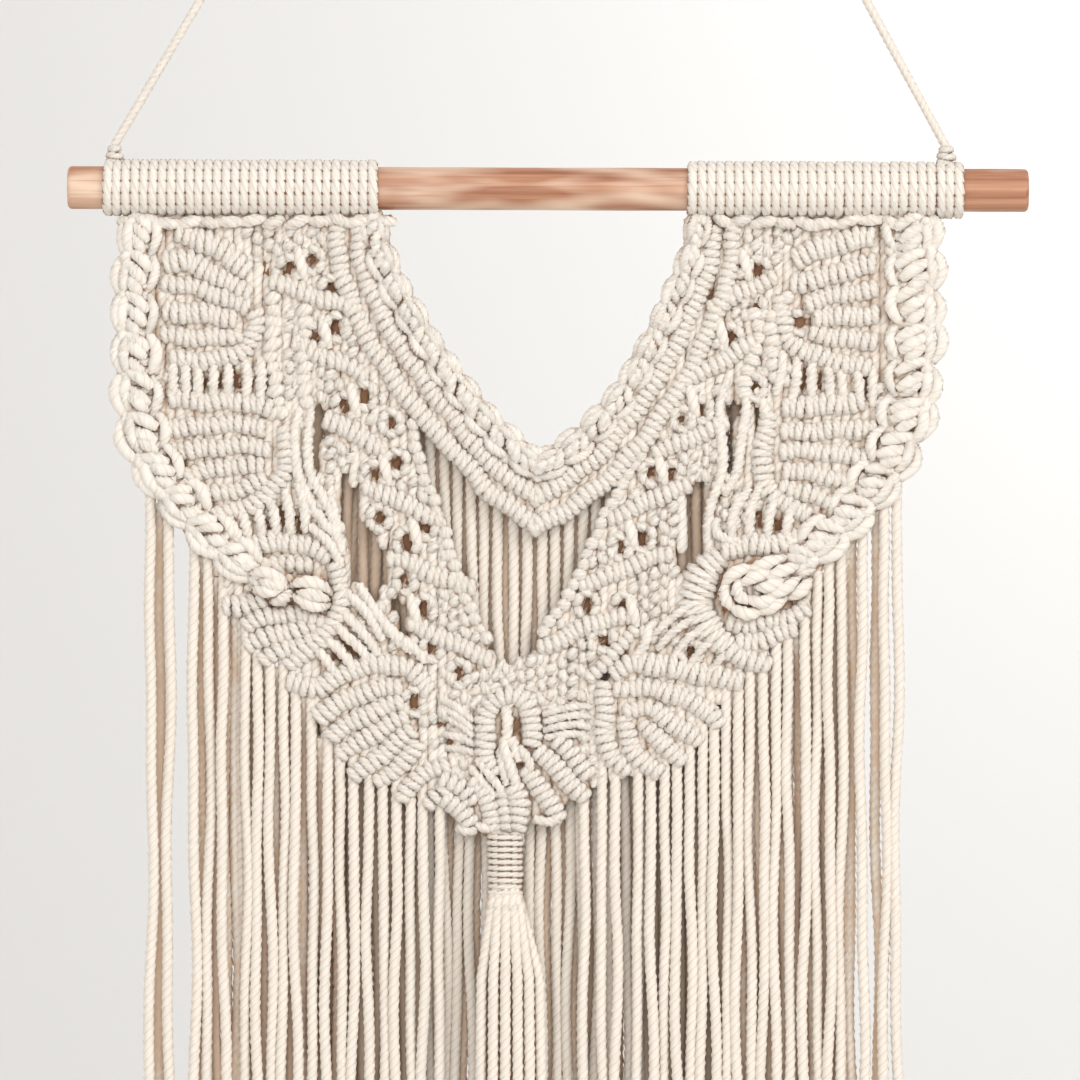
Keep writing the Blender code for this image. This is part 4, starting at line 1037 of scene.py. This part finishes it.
rightPanel = {
    "node": "panel_right",
    "side": 1,
    "bars": [
        [(88, 24, 9), (97, 20.5, 9), (106, 18, 9), (113, 16.5, 8.5)],
        [(87, 33, 8), (95, 31.5, 8), (104, 28.8, 8), (113.5, 26.3, 8)],
        [(92, 40, 7), (98, 38, 7), (105, 36.7, 7), (114, 35.5, 7)],
        [(94.5, 45, 7), (104, 44.8, 7.5), (114.5, 44.2, 7.5)],
        [(93, 50.5, 7), (102, 52.3, 7.5), (114, 53.2, 7)],
        [(82, 39, 6.5), (82.2, 46, 7.5), (85.5, 53.5, 7.5), (93, 58.2, 7.5), (103, 61, 7.5),
         (112, 62.5, 7)],
        [(83.5, 77, 7), (88, 76, 8.5), (95, 75.8, 8.5), (104, 75.2, 8.5), (110, 74.5, 7.5)],
        [(83, 85, 7), (92, 85, 7), (100, 84.3, 7.5), (108, 84, 8), (114, 84.5, 7)],
        [(83, 91.7, 7), (90, 91.5, 7), (98, 92.2, 7.5), (105, 93.5, 7.5), (110.5, 93.5, 7)],
        [(84, 98.5, 7), (90, 99, 7), (97, 100.5, 7), (104, 102.3, 6.5)],
        [(82.5, 104.5, 7), (90, 106, 7), (96, 108.3, 7), (101, 110.3, 6)],
        [(78, 79, 6.5), (75.8, 88, 8), (75, 96, 8.5), (77, 104, 8), (82.5, 110, 7.5), (91, 113.5, 7)],
        [(62.5, 126.5, 8), (70, 124.7, 8.5), (78, 124.7, 9), (84, 123.5, 8), (89, 120.5, 6)],
        [(60, 129.5, 9), (54.6, 135, 12.5), (52, 143, 14.5), (54.4, 151, 12.5), (60.5, 158.5, 10),
         (68, 163.5, 8.5), (76.5, 167, 7)],
        [(64.5, 152, 7), (70, 152.5, 8), (76, 151, 8), (83, 150.5, 8), (89.5, 147, 7)],
        [(67, 159, 7), (73, 158.5, 8), (79.5, 156, 8), (86, 153.5, 7)],
        [(62.5, 140.5, 10), (70, 140, 13), (78, 138.5, 13), (84, 136, 10)],
        [(24, 169, 7), (30, 166, 8), (36, 166, 9), (44, 167.2, 9.5), (52, 169, 9.5), (60, 171, 8.5),
         (67, 172, 7.5)],
        [(25, 174.5, 7), (31, 175, 7), (38, 174.5, 7), (44, 176.7, 8), (50, 179.3, 8), (56, 182.7, 8),
         (60, 187, 7)],
        [(28, 182.5, 6), (32, 181.7, 6), (37, 182, 7), (42, 185.3, 8), (47, 189.3, 8), (52.5, 193, 7)],
        [(33.5, 187.5, 6), (37.5, 191, 7.5), (42, 195.5, 8), (46.5, 199.5, 6.5)],
        [(20, 173.5, 7), (20.3, 182, 8), (20, 190, 8), (22, 198, 7.5), (28, 203.5, 7)],
        [(27.5, 185.5, 6.5), (28.3, 193, 7.5), (32, 199.5, 8), (38.5, 203.5, 7)],
    ],
    "slants": [
        [(79, 31.5, 7), (70, 35.5, 8.5), (62.5, 39, 8), (57, 41.5, 7)],
        [(71.5, 54, 7), (64, 58.5, 8.5), (57, 62.5, 8), (47.5, 68, 7)],
        [(61.5, 82, 7), (55, 85, 8.5), (47.5, 88.5, 8.5), (38.5, 92, 7)],
        [(48.5, 104, 7), (41, 106.7, 8), (34.5, 109.7, 8.5), (28, 113, 8), (22.5, 115.3, 7)],
        [(42.5, 127.5, 7), (35, 129.5, 8), (27, 133.2, 8.5), (19, 136, 8), (12, 138.5, 7)],
        [(28.5, 149.5, 7), (21, 151, 8), (14, 153, 8.5), (7, 156.5, 8), (-2, 160.5, 7)],
        [(30, 155, 6), (26, 160, 6.5), (20, 165.5, 6.5), (15, 171, 6.5)],
    ],
    "ribs": [
        [(57.8, 14, 7), (57.3, 24, 7.4), (54, 34.5, 7.8), (49.5, 44.5, 7.8), (45.3, 54, 7.8),
         (40.5, 63, 7.8), (34.5, 72.5, 7.8), (27.5, 82, 7.6), (19, 92, 7.6), (10, 99.4, 7.6), (1, 105, 7.6),
         (-4.4, 108.6, 7.6)],
        [(65, 14, 6.5), (64.3, 26, 7), (61.5, 37.5, 7.4), (57, 48.5, 7.4), (52.7, 58.5, 7.4),
         (47.8, 67.5, 7.4), (41.5, 77, 7.4), (34, 87.5, 7.4), (26, 96.5, 7.4), (17.5, 104.6, 7.4),
         (8, 111.4, 7.4), (-4.4, 118.6, 7.4)],
    ],
    "knobs": [
        [(84, 38, 5), (78.5, 46, 6), (79, 56, 6.5), (79.5, 66, 6)],
        [(73, 44, 6), (74, 52, 6), (70, 64, 6.5), (69, 72, 6)],
        [(36.5, 86, 4.2), (28.5, 100.5, 4.4), (21.5, 111.5, 4.4), (17.5, 121, 4.4), (12.5, 132, 4.4),
         (6.5, 144, 4.4), (-1, 155, 4.2)],
    ],
    "braid": [(127.5, 9.5, 19), (127.8, 24, 20), (128, 38, 20), (128, 52, 20), (127.3, 64, 19.5),
              (125.8, 76, 19.5), (122.3, 88, 19), (117.5, 98, 18), (110.5, 107, 17), (102.5, 115.5, 15.5),
              (94, 123.5, 14.5), (86.5, 129.5, 13), (80, 133.5, 11)],
    "neck": [(54, 9.5, 7), (51.8, 20, 7.5), (48, 31, 8), (43.8, 41, 8.5), (39, 51, 8.5), (34.3, 60, 9),
             (29, 69.5, 9), (21.5, 79, 9.5), (13, 88, 9.8), (5, 93.6, 9.6), (-4.4, 99, 9)],
    # outlines of the cloth and of the long slots in it, as (x, d)
    "web": [(-3.15, 99.5), (5, 94.5), (22, 79.5), (35, 60), (44.5, 41), (52.5, 20), (54.5, 7), (125, 7),
            (125, 90), (118, 108), (98, 126), (90.5, 147), (83, 157), (73, 165), (64.5, 174), (57, 187),
            (49, 197), (40, 204), (27, 207), (11, 212), (11, 184), (-15, 184), (-15, 167), (-2, 160),
            (8, 141), (17, 123), (20, 112), (28, 101), (35, 91), (36, 84), (28, 97), (20, 105), (10, 112.5),
            (-3.15, 120)],
    "slots": [
        [(61.8, 76.5), (68, 76.5), (66.5, 82), (65.5, 97), (63.5, 101), (62.5, 93)],
        [(71.5, 77.5), (75, 77.5), (75, 84), (70.8, 89.5)],
        [(50.2, 103.5), (55, 103), (54.8, 128.5), (51.5, 131.5), (46, 135), (47.5, 121)],
        [(24.5, 161), (27.5, 161.5), (26, 167), (16.5, 175.5), (17, 171.5), (23, 167.5)],
    ],
    # eyes of the net, then gaps between cords: x, d, width, height, lean in degrees
    "net": [
        (65.5, 27, 2.6, 4.4, -10), (74, 28.5, 3.0, 4.6, -30), (56.7, 37.3, 2.2, 4.6, -20),
        (72.5, 42, 2.8, 4.8, -25),
        (56.5, 51.5, 2.6, 4.4, -15), (64.3, 52.7, 3.2, 5.4, -15), (72.6, 69.5, 2.6, 4.2, 15),
        (53.8, 77.5, 2.8, 4.2, 0),
        (47.6, 80.5, 2.2, 3.6, 0), (43.8, 99.8, 2.8, 4.2, -15), (33.2, 122.3, 3.2, 4.6, -10),
        (36.5, 99.5, 2.4, 4.0, 0),
        (50.3, 162, 2.6, 4.0, -20), (19.8, 158.2, 5.0, 2.6, -60), (27.0, 146.0, 2.6, 4.4, 0),
        (14.0, 145.5, 2.6, 4.4, 0),
        (25.5, 125.5, 2.6, 4.2, 0), (88, 46.8, 4.4, 3.4, 0),
    ],
    "gaps": [
        (78, 49, 1.8, 8.4, -3), (73.5, 56, 2.4, 12, -2), (80, 66, 2.4, 4.0, -20), (90, 66, 2.0, 7.6, -5),
        (95.5, 67, 1.8, 5.4, -10), (112.5, 68.5, 1.8, 8.4, 0), (58.5, 108.5, 1.6, 9.6, -4),
        (74.8, 115.5, 2.4, 7.6, 0),
        (81, 117.5, 2.4, 5.6, -12),
    ],
    # the x where the bumps under the dowel and the upright columns begin and end
    "top": (49.5, 137.5),
    "columns": (-14.4, 125),
    # single cords by radius, and the fat turns where the side braid ends, as (x, d, depth)
    "cords": {
        2.2: [
            [(82.2, 57, -1.5), (82.4, 63, -2.8), (80, 72, -2)],
            [(87.4, 59, -1.5), (87.2, 66, -2.8), (85.6, 75, -1.5)],
            [(92.8, 60, -1.5), (92.6, 66, -2.8), (92.6, 74, -1.5)],
            [(98.6, 62, -1.5), (98.8, 67, -2.8), (99, 74, -1.5)],
            [(103, 63, -1.5), (103.2, 68, -2.4), (103.6, 74, -1.5)],
            [(108.6, 63, -1.5), (109, 68, -2.8), (109.4, 74, -1.5)],
            [(114, 62, -1), (113.9, 68, -2), (113.8, 76, -1)],
            [(69.5, 68, -1), (69.8, 76, -2.2), (68.6, 84, -2.4), (67.4, 92, -2.4), (66, 100, -2),
             (62, 107, -1.4)],
            [(73.4, 70, -0.6), (76, 76, -1.6), (77, 84, -2)],
            [(62, 68, -1), (60.6, 76, -2.4), (60.8, 86, -2.6), (61.6, 94, -2.4), (60, 103, -2.4),
             (57, 112, -1.6), (56, 124, -0.8)],
            [(75.5, 103, -2), (71.8, 110, -3), (70.8, 117, -2.8), (71, 123, -1.6)],
            [(71, 105, -2), (66.2, 111, -3), (64.4, 118, -2.8), (65, 124, -1.6)],
            [(80, 108, -2), (77.8, 114, -3), (77.2, 122, -1.6)],
            [(86, 110, -2), (84.4, 115.5, -3), (83.4, 122, -1.6)],
            [(58, 117, -0.6), (61, 122, -2.6), (66, 123, -2)],
            [(36, 152, -1.4), (34.4, 158.5, -2.8), (31, 164, -2)],
        ],
        1.85: [
            [(52, 145, -2.8), (47, 147.6, -3.6), (41.5, 152, -3), (36.6, 157, -1.6)],
            [(53.4, 149.4, -2.6), (48.5, 151.8, -3.8), (43, 156, -3.2), (38.6, 161, -1.8)],
            [(55.6, 153.6, -2.4), (51, 155.8, -3.8), (47, 159.8, -3), (43.8, 164.6, -1.8)],
            [(58.6, 157.6, -2.2), (55, 160, -3.4), (52, 163.6, -2.8), (49.6, 167.2, -1.8)],
            [(62.6, 161.6, -2), (60.2, 164.8, -3), (57.8, 168.8, -1.8)],
        ],
    },
    "beans": [
        [(84, 128.8, -4), (76.5, 131, -6), (69.4, 134.2, -5)],
        [(72.6, 132.2, -4.2), (65.4, 134.4, -5.8), (61.4, 139.4, -4.6)],
        [(63, 137.2, -4.2), (61.8, 142.4, -5.8), (65.6, 147.4, -4.4)],
        [(63.4, 145.4, -4.2), (69.4, 148.6, -5.8), (76, 147.4, -4.4)],
        [(72.4, 148.2, -4), (78.6, 146.2, -5.8), (83.8, 142.4, -4.2)],
        [(88.4, 131.6, -4.6), (81.6, 133.8, -6.8), (75.4, 137.4, -5.6)],
        [(79.6, 134, -5), (72.8, 135.6, -7), (67, 138.8, -5.6)],
        [(67.4, 136.4, -5), (66.4, 141.4, -6.8), (71, 145, -5.4)],
        [(69, 143, -5), (75, 144.6, -7), (81.4, 141.8, -5.4)],
        [(72.4, 139.6, -5.6), (77.6, 139, -7.4), (83, 136.4, -5.8)],
        [(76, 142.6, -5.4), (82, 140.4, -7), (88.4, 135.8, -4.8)],
        [(84, 143.4, -3.4), (88.4, 140.8, -4.6), (92.4, 136.4, -3.4)],
    ],
}
middleTwice = -16.5                             # the pairs of the right net mirror those of the left
rightPanel["pairs"] = [((middleTwice - right[0], right[1]), (middleTwice - left[0], left[1]))
                       for left, right in leftPanel["pairs"]]
for panel, name in ((leftPanel, "panelLeftKnots"), (rightPanel, "panelRightKnots")):
    dress(joined(name, makePanel(panel)), panel["node"])
    print(name, "made")

# centre: bars and cords of the ring and the leaves, then outlines as in the panels
motif = {
    "bars": [
        [(-18.5, 204, 7), (-21.4, 199.5, 8), (-21.6, 192, 8), (-21.4, 185, 8), (-18.6, 179.4, 7.5),
         (-13.4, 176.8, 7), (-9, 178, 7.5), (-6.2, 182, 8), (-5.2, 188, 8), (-5.4, 194, 7.5)],
        [(-36, 206.5, 7), (-31, 209, 7.5), (-26, 213.5, 7)],
        [(-35, 213.5, 7), (-30.5, 216.5, 7.5), (-27.5, 221.5, 7)],
        [(-26, 207.5, 6.5), (-21.8, 212, 7.5), (-19.6, 219.5, 7.5), (-17.8, 226, 6)],
        [(-11.6, 209.5, 8), (-10, 214, 8.5), (-9.6, 219.5, 8), (-11.2, 226, 6)],
        [(-15.6, 212, 5.5), (-14.8, 218, 6), (-14.6, 226.4, 6)],
        [(-7.4, 203, 7), (-3.4, 208.5, 8), (0.4, 214, 8), (3.4, 219.5, 7)],
        [(-2.6, 197, 7.5), (2.4, 202, 8), (7.4, 207, 8), (12.6, 212.4, 7)],
        [(4, 193.5, 7), (9, 198.5, 8), (14.4, 204.5, 7.5)],
    ],
    "cords": {
        2.3: [
            [(-14.8, 180.4, -1.0), (-14, 184, -3.0), (-13.8, 189, -3.2), (-14.6, 194, -2.0)],
            [(-15.4, 193, -2.4), (-14.4, 197.5, -4.2), (-12.4, 203, -4.4), (-10.6, 209, -2.8)],
            [(-11.8, 192.4, -1.6), (-11.4, 196, -3.2), (-9.4, 200.5, -3.4)],
        ],
        1.75: [
            [(-38, 178, -1.2), (-32, 181, -2.6), (-26, 186, -2.2)],
            [(-37.6, 180.8, -1.0), (-31.8, 184, -2.4), (-25.8, 189, -2.2)],
            [(-37, 184.4, -0.8), (-31.4, 186.6, -1.8), (-25.6, 191.6, -2.2)],
            [(-36, 190.8, -0.8), (-31, 191.6, -2.2), (-25.4, 194.4, -2.2)],
            [(-35, 195.6, -0.6), (-30.4, 195.8, -2.0), (-25.4, 197.4, -2.0)],
            [(-1.6, 183.8, -2.4), (4.6, 182, -3), (10.5, 181, -2.6), (15.6, 181.2, -1.4)],
            [(-1.2, 186.6, -2.4), (5, 184.8, -3.2), (10.8, 184, -2.8), (15.6, 184.8, -1.4)],
            [(-1.4, 189.4, -2.4), (5, 187.8, -3.2), (10.8, 187.2, -2.8), (15.4, 188.6, -1.4)],
            [(-1, 192.2, -2.4), (5, 190.8, -3), (10.4, 190.6, -2.6), (15.2, 192.4, -1.4)],
        ],
        2.0: [
            [(-24.6, 199.6, -2.6), (-20, 205, -3.6), (-15.2, 211.4, -2.8)],
            [(-27, 202, -2), (-23, 207, -3), (-18, 212.6, -2.2)],
            [(-9.6, 195.4, -3), (-7, 199, -5), (-5.4, 203.6, -3.2)],
            [(-16.6, 196, -2.4), (-15.6, 202, -3.8), (-14, 208.6, -2.8)],
            [(-4.6, 220.2, -2), (0.2, 221.6, -3.6), (4.6, 220.6, -2)],
            [(-31, 223.2, -1.6), (-28, 225, -2.8), (-25, 224.2, -1.8)],
            [(-24.4, 222.6, -2), (-20, 224.2, -3.4), (-16, 224.8, -2.4)],
        ],
    },
    "web": [(-32, 175), (15.5, 175), (15.5, 211), (8, 214.5), (0, 219.5), (-7, 223), (-9, 227),
            (-20.5, 227), (-24, 223), (-31, 220)],
    "slots": [],
    "eyes": [[(-11, 184), (-8.6, 184), (-8.6, 192), (-11, 192)]],
    "columns": (-31.0, 15),
}
centreLook = {**rowLooks["bars"], "lean": 0.1, "wander": 0.08, "uneven": 0.09, "depth": -1.9, "sway": 0.3}
lines = rowLines(motif["bars"], centreLook["depth"], rowStep, centreLook["width"], centreLook["sway"])
made = [hitchRow("bars", lines, centreLook, 41)]
for radius, rows in motif["cords"].items():
    made.append(twistedCord("cords", [crooked(row) for row in rows], radius, "single", 17))
made.append(backing(motif))
dress(joined("centreKnots", made), "centre_motif")
print("centre made")

# tassel: its wraps, and its strands by x and y at the wrap and at the end
tasselLook = {"x": -14.7, "y": -5.2, "top": 226.6, "foot": 246.0, "loop": (6.7, 5.6, 1.1, 1.0, 24, 6, 5),
              "pitch": 2.0, "lean": 0.03, "wander": 0.02, "uneven": 0.09, "gathered": 0.5,
              "flare": (227, 242, 251, 276)}    # d of the gathered tops, then of the spreading strands
tasselStrands = [
    (-19.2, -8.2, -24.0, -7.4), (-17.2, -9.2, -19.2, -9.4), (-14.4, -9.6, -14.6, -10.0),
    (-11.6, -9.2, -9.9, -9.6), (-9.8, -8.0, -5.2, -8.8), (-9.2, -5.6, -0.6, -6.6),
    (-19.8, -5.0, -21.8, -2.8), (-17.0, -3.0, -17.2, -3.6), (-14.6, -2.6, -12.4, -3.4),
    (-12.2, -3.0, -7.6, -2.8), (-9.6, -3.4, -2.9, -2.2),
]
strandRadius = 2.12


def hangStrands(name, rows, seed, lay="strand", girth=1.0, finish=cordLoose):   # rows of (x, y, d)
    lines = [[(spot(x, y, d), girth) for x, y, d in row] for row in rows]
    return twistedCord(name, lines, strandRadius, lay, seed, finish)


wrapEnds = (tasselLook["top"], tasselLook["foot"])
wrapLine = [(spot(tasselLook["x"], tasselLook["y"], d), 1.0) for d in wrapEnds]
rows = []
for k, (x0, y0, x1, y1) in enumerate(tasselStrands):
    x = tasselLook["x"] + tasselLook["gathered"] * (x0 - tasselLook["x"])
    y = tasselLook["y"] + tasselLook["gathered"] * (y0 - tasselLook["y"])
    top, neck, shoulder, spread = tasselLook["flare"]
    rows.append([(x, y, top), (x, y, neck), (x0, y0, shoulder),
                 (x0 + (x1 - x0) * 0.75, y0 + (y1 - y0) * 0.8, spread),
                 (x1, y1, strandEnd + 1.5 * math.sin(2.3 * k))])
dress(joined("tasselCords", [hitchRow("gather", [wrapLine], tasselLook, 19),
                             hangStrands("tasselStrands", rows, 23)]), "tassel")
print("tassel made")

# fringes: lower edge of the cloth as (x, d), then strands by the x of their ends; slot strands as (x, y, top)
fringes = {
    "fringe_left": {
        "name": "fringeLeftStrands",
        "edge": [(-142.4, 101.3), (-138.5, 106.8), (-133.5, 112.8), (-127, 121.5), (-120, 130), (-114, 138),
                 (-109.5, 148.5), (-105.5, 158), (-98, 165.5), (-89, 171.5), (-84, 179), (-80.5, 190.5),
                 (-73, 200), (-66, 207), (-54, 211), (-46, 217.5), (-36, 221), (-27.5, 226)],
        "front": [-138.7, -132.4, -123.5, -118.5, -113.2, -105.6, -101.2, -96.8, -92.3, -87.8, -82.4, -76.8,
                  -72.3, -67.7, -62.4, -57.4, -52.6, -47.9, -43.4, -37.4],
        "rear": [-135.6, -115.9, -109.2, -103.4, -94.7, -90.1, -85.1, -79.4],
        "slot": [(-80.6, 7.4, 62), (-76.2, 7.2, 64), (-71.8, 7.6, 66), (-52.4, 8.0, 132)],
        "hidden": [-121.0, -112.0, -107.0, -98.6, -87.4, -82.4, -77.2, -74.0]},
    "fringe_right": {
        "name": "fringeRightStrands",
        "edge": [(9, 219), (17, 213.5), (27, 209.2), (40, 206.5), (49, 200), (57, 190.5), (64.5, 177),
                 (73, 167.5), (83, 159.5), (90.5, 149.5), (95, 139), (98.5, 130), (106, 121), (114, 113.4),
                 (121, 108.6), (126.2, 102.5)],
        "front": [13.0, 19.3, 23.7, 32.0, 36.4, 41.0, 45.6, 50.0, 54.4, 58.6, 62.7, 66.8, 71.1, 75.6, 80.1,
                  84.4, 90.2, 94.5, 98.7, 103.0, 110.3, 118.1, 122.4],
        "rear": [73.3, 77.8, 82.2, 87.3, 92.3, 96.6, 106.7, 115.6],
        "slot": [(18.6, 8.0, 150), (24.2, 8.0, 146), (61.8, 7.4, 62), (66.2, 7.2, 60), (71.4, 7.4, 64),
                 (75.2, 7.2, 66)],
        "hidden": [64.6, 68.9, 71.2, 80.0, 84.8, 89.6, 94.4, 100.8, 104.6]},
}
backStrands = [-69.6, -64.9, -60.2, -55.5, -50.8, -46.1, -40.9, -35.9, -31.4, -26.6, -22.0, -17.4, -11.6,
               -6.8, -1.8, 2.9, 7.7, 12.5, 17.3, 22.1, 27.8, 32.8, 37.6, 42.4, 47.2, 52.0, 56.8, 61.6]
backEdge = [(-73.5, 34), (-64, 52), (-50, 72), (-40, 85.5), (-30, 97), (-20, 108.5), (-9, 116), (-3, 120),
            (3, 117), (10, 112.5), (20, 105), (28, 96.5), (38, 83), (46, 66), (56, 46), (66, 30)]


def edgeDepth(rows, x):                         # second column of an edge at x
    for (x0, d0), (x1, d1) in zip(rows, rows[1:]):
        if x0 <= x <= x1:
            return d0 + (d1 - d0) * (x - x0) / (x1 - x0)
    return rows[0][1] if x < rows[0][0] else rows[-1][1]


fringeLook = {"straightFrom": 16, "step": 12, "wave": 0.8, "ripple": 0.4, "settle": 3,
              "front": (-0.6, 6.5), "rear": (4.6, 0.0), "hidden": (4.4, 6.0)}   # y, and rise above the edge


def fringeLines(edge, y, rise, places):         # strands from above the edge down to the fringe's end
    rows = []
    for k, x in enumerate(places):
        root = edgeDepth(edge, x)
        sway = 0.2 * math.sin(2.1 * k + 0.6)
        deep = y + fringeLook["wave"] * math.sin(2.7 * k)
        end = strandEnd + 1.6 * math.sin(2.7 * k + x)
        row = [(x - sway, y * 0.3, root - rise), (x - sway, y * 0.6, root + 4)]
        start = root + fringeLook["straightFrom"]
        steps = round((end - start) / fringeLook["step"])
        for i in range(steps + 1):
            d = start + (end - start) * i / steps
            wander = min(1.0, i / fringeLook["settle"])
            sideways = (fringeLook["wave"] * math.sin(d / 29 + 2.4 * k)
                        + fringeLook["ripple"] * math.sin(d / 12 + 5.1 * k))
            row.append((x + wander * sideways,
                        deep + wander * fringeLook["ripple"] * math.sin(d / 19 + 3.3 * k), d))
        rows.append(row)
    return rows


def slotRow(x, y, top):                         # a straight strand seen through a long slot
    return [(x, y, top), (x + 0.4, y, (top + strandEnd) / 2), (x, y, strandEnd - 1)]


for seed, (node, look) in enumerate(fringes.items()):
    front, rear, hidden = [fringeLines(look["edge"], *fringeLook[row], look[row])
                           for row in ("front", "rear", "hidden")]
    slot = [slotRow(*strand) for strand in look["slot"]]
    dress(joined(look["name"], [
        hangStrands("strands", front + rear, 51 + seed),
        # slot strands take the slot cotton with painted shade
        hangStrands("slotStrands", slot, 57 + seed, "rearStrand", 1.25, cordSlotShade),
        hangStrands("hidden", hidden, 55 + seed, "rearStrand", 1.2)]), node)

# back fringe: the strands behind the net, a plainer row that closes their gaps, and the turns that hold them
backLook = {"y": 5.6, "least": 5.2, "rise": 6.0, "hiddenY": 9.4, "hiddenRise": 4.0, "middle": -5, "half": 40}
holdingLook = {"loop": (2.4, 1.9, 1.0, 1.6, 8, 6, 4), "pitch": 3.0, "lean": 0.1, "wander": 0.05,
               "uneven": 0.09, "depth": 4.4, "width": 4.8, "above": 1.5}


def keptBehind(rows, least):                    # no point in front of the depth given
    return [[(x, max(y, least), d) for x, y, d in row] for row in rows]


rows = keptBehind(fringeLines(backEdge, backLook["y"], backLook["rise"], backStrands), backLook["least"])
inner = [row for row in rows if abs(row[0][0] - backLook["middle"]) < backLook["half"]]
outer = [row for row in rows if abs(row[0][0] - backLook["middle"]) >= backLook["half"]]
gapPlaces = [(a + b) / 2 for a, b in zip(backStrands, backStrands[1:])]
hidden = keptBehind(fringeLines(backEdge, backLook["hiddenY"], backLook["hiddenRise"], gapPlaces),
                    backLook["hiddenY"])
holding = rowLines([[(x, d - holdingLook["above"], holdingLook["width"]) for x, d in backEdge]],
                   holdingLook["depth"], rowStep, holdingLook["width"])
dress(joined("backFringeStrands", [
    hangStrands("backStrands", inner, 61),
    # the outer back strands show through the slots and take the slot cotton with painted shade
    hangStrands("slotBackStrands", outer, 63, finish=cordSlotShade),
    hangStrands("hiddenStrands", hidden, 67, "rearStrand", 1.1),
    hitchRow("holding", holding, holdingLook, 71)]), "back_fringe")
print("fringes made")

view = {"across": 0.378, "middle": (-0.00245, -0.39285), "away": 3.0, "sensor": 36.0}
camera = bpy.data.cameras.new("camera")
camera.sensor_width = view["sensor"]
camera.lens = view["sensor"] * view["away"] / view["across"]
camera.clip_end = 50.0
cameraObject = linked("camera", camera)
cameraObject.location = (view["middle"][0], -view["away"], view["middle"][1])
cameraObject.rotation_euler = (math.radians(90), 0, 0)
bpy.context.scene.camera = cameraObject
bpy.context.scene.view_settings.view_transform = "Standard"

studio = {"floor": -1.5, "half": 8, "wall": 7.0, "wallTop": 3.5, "floorColour": (0.78, 0.77, 0.75),
          "wallColour": (0.80, 0.80, 0.80), "sky": (1.0, 0.975, 0.945, 1), "skyStrength": 0.85}
lamps = {                                       # place, aim, size, power
    "windowLight": ((1.5, -1.7, 0.7), (0, 0, -0.35), 1.2, 27.0),
    "roomFill": ((-0.5, -3.2, 0.3), (0, 0, -0.35), 2.4, 43.0),
    "rearFill": ((-2.4, 3.0, 1.4), (0, 0, -0.35), 1.6, 42.0),
    "wallWash": ((1.3, studio["wall"] - 1.1, 0.6), (0.7, studio["wall"], -0.3), 1.6, 18.0),
}


def stageSheet(name, corners, colour, roughness):       # a flat stage surface
    mesh = bpy.data.meshes.new(name)
    mesh.from_pydata(corners, [], [(0, 1, 2, 3)])
    sheet = linked(name, mesh)
    material, graph = newMaterial(name)
    surface(graph, {"Base Color": (*colour, 1), "Roughness": roughness})
    mesh.materials.append(material)


half = studio["half"]
wall = studio["wall"]
low = studio["floor"]
high = studio["wallTop"]
stageSheet("paleFloor", [(-half, -half, low), (half, -half, low), (half, wall, low), (-half, wall, low)],
           studio["floorColour"], 0.8)
stageSheet("paleBackdrop", [(-half, wall, low), (half, wall, low), (half, wall, high), (-half, wall, high)],
           studio["wallColour"], 0.9)
for name, (place, aim, size, power) in lamps.items():
    lamp = bpy.data.lights.new(name, "AREA")
    lamp.size = size
    lamp.energy = power
    lampObject = linked(name, lamp)
    lampObject.location = place
    lampObject.rotation_euler = (Vector(aim) - Vector(place)).to_track_quat("-Z", "Y").to_euler()
world = bpy.data.worlds.new("studio")
world.use_nodes = True
background = world.node_tree.nodes["Background"]
background.inputs["Color"].default_value = studio["sky"]
background.inputs["Strength"].default_value = studio["skyStrength"]
bpy.context.scene.world = world

print("scene ready")
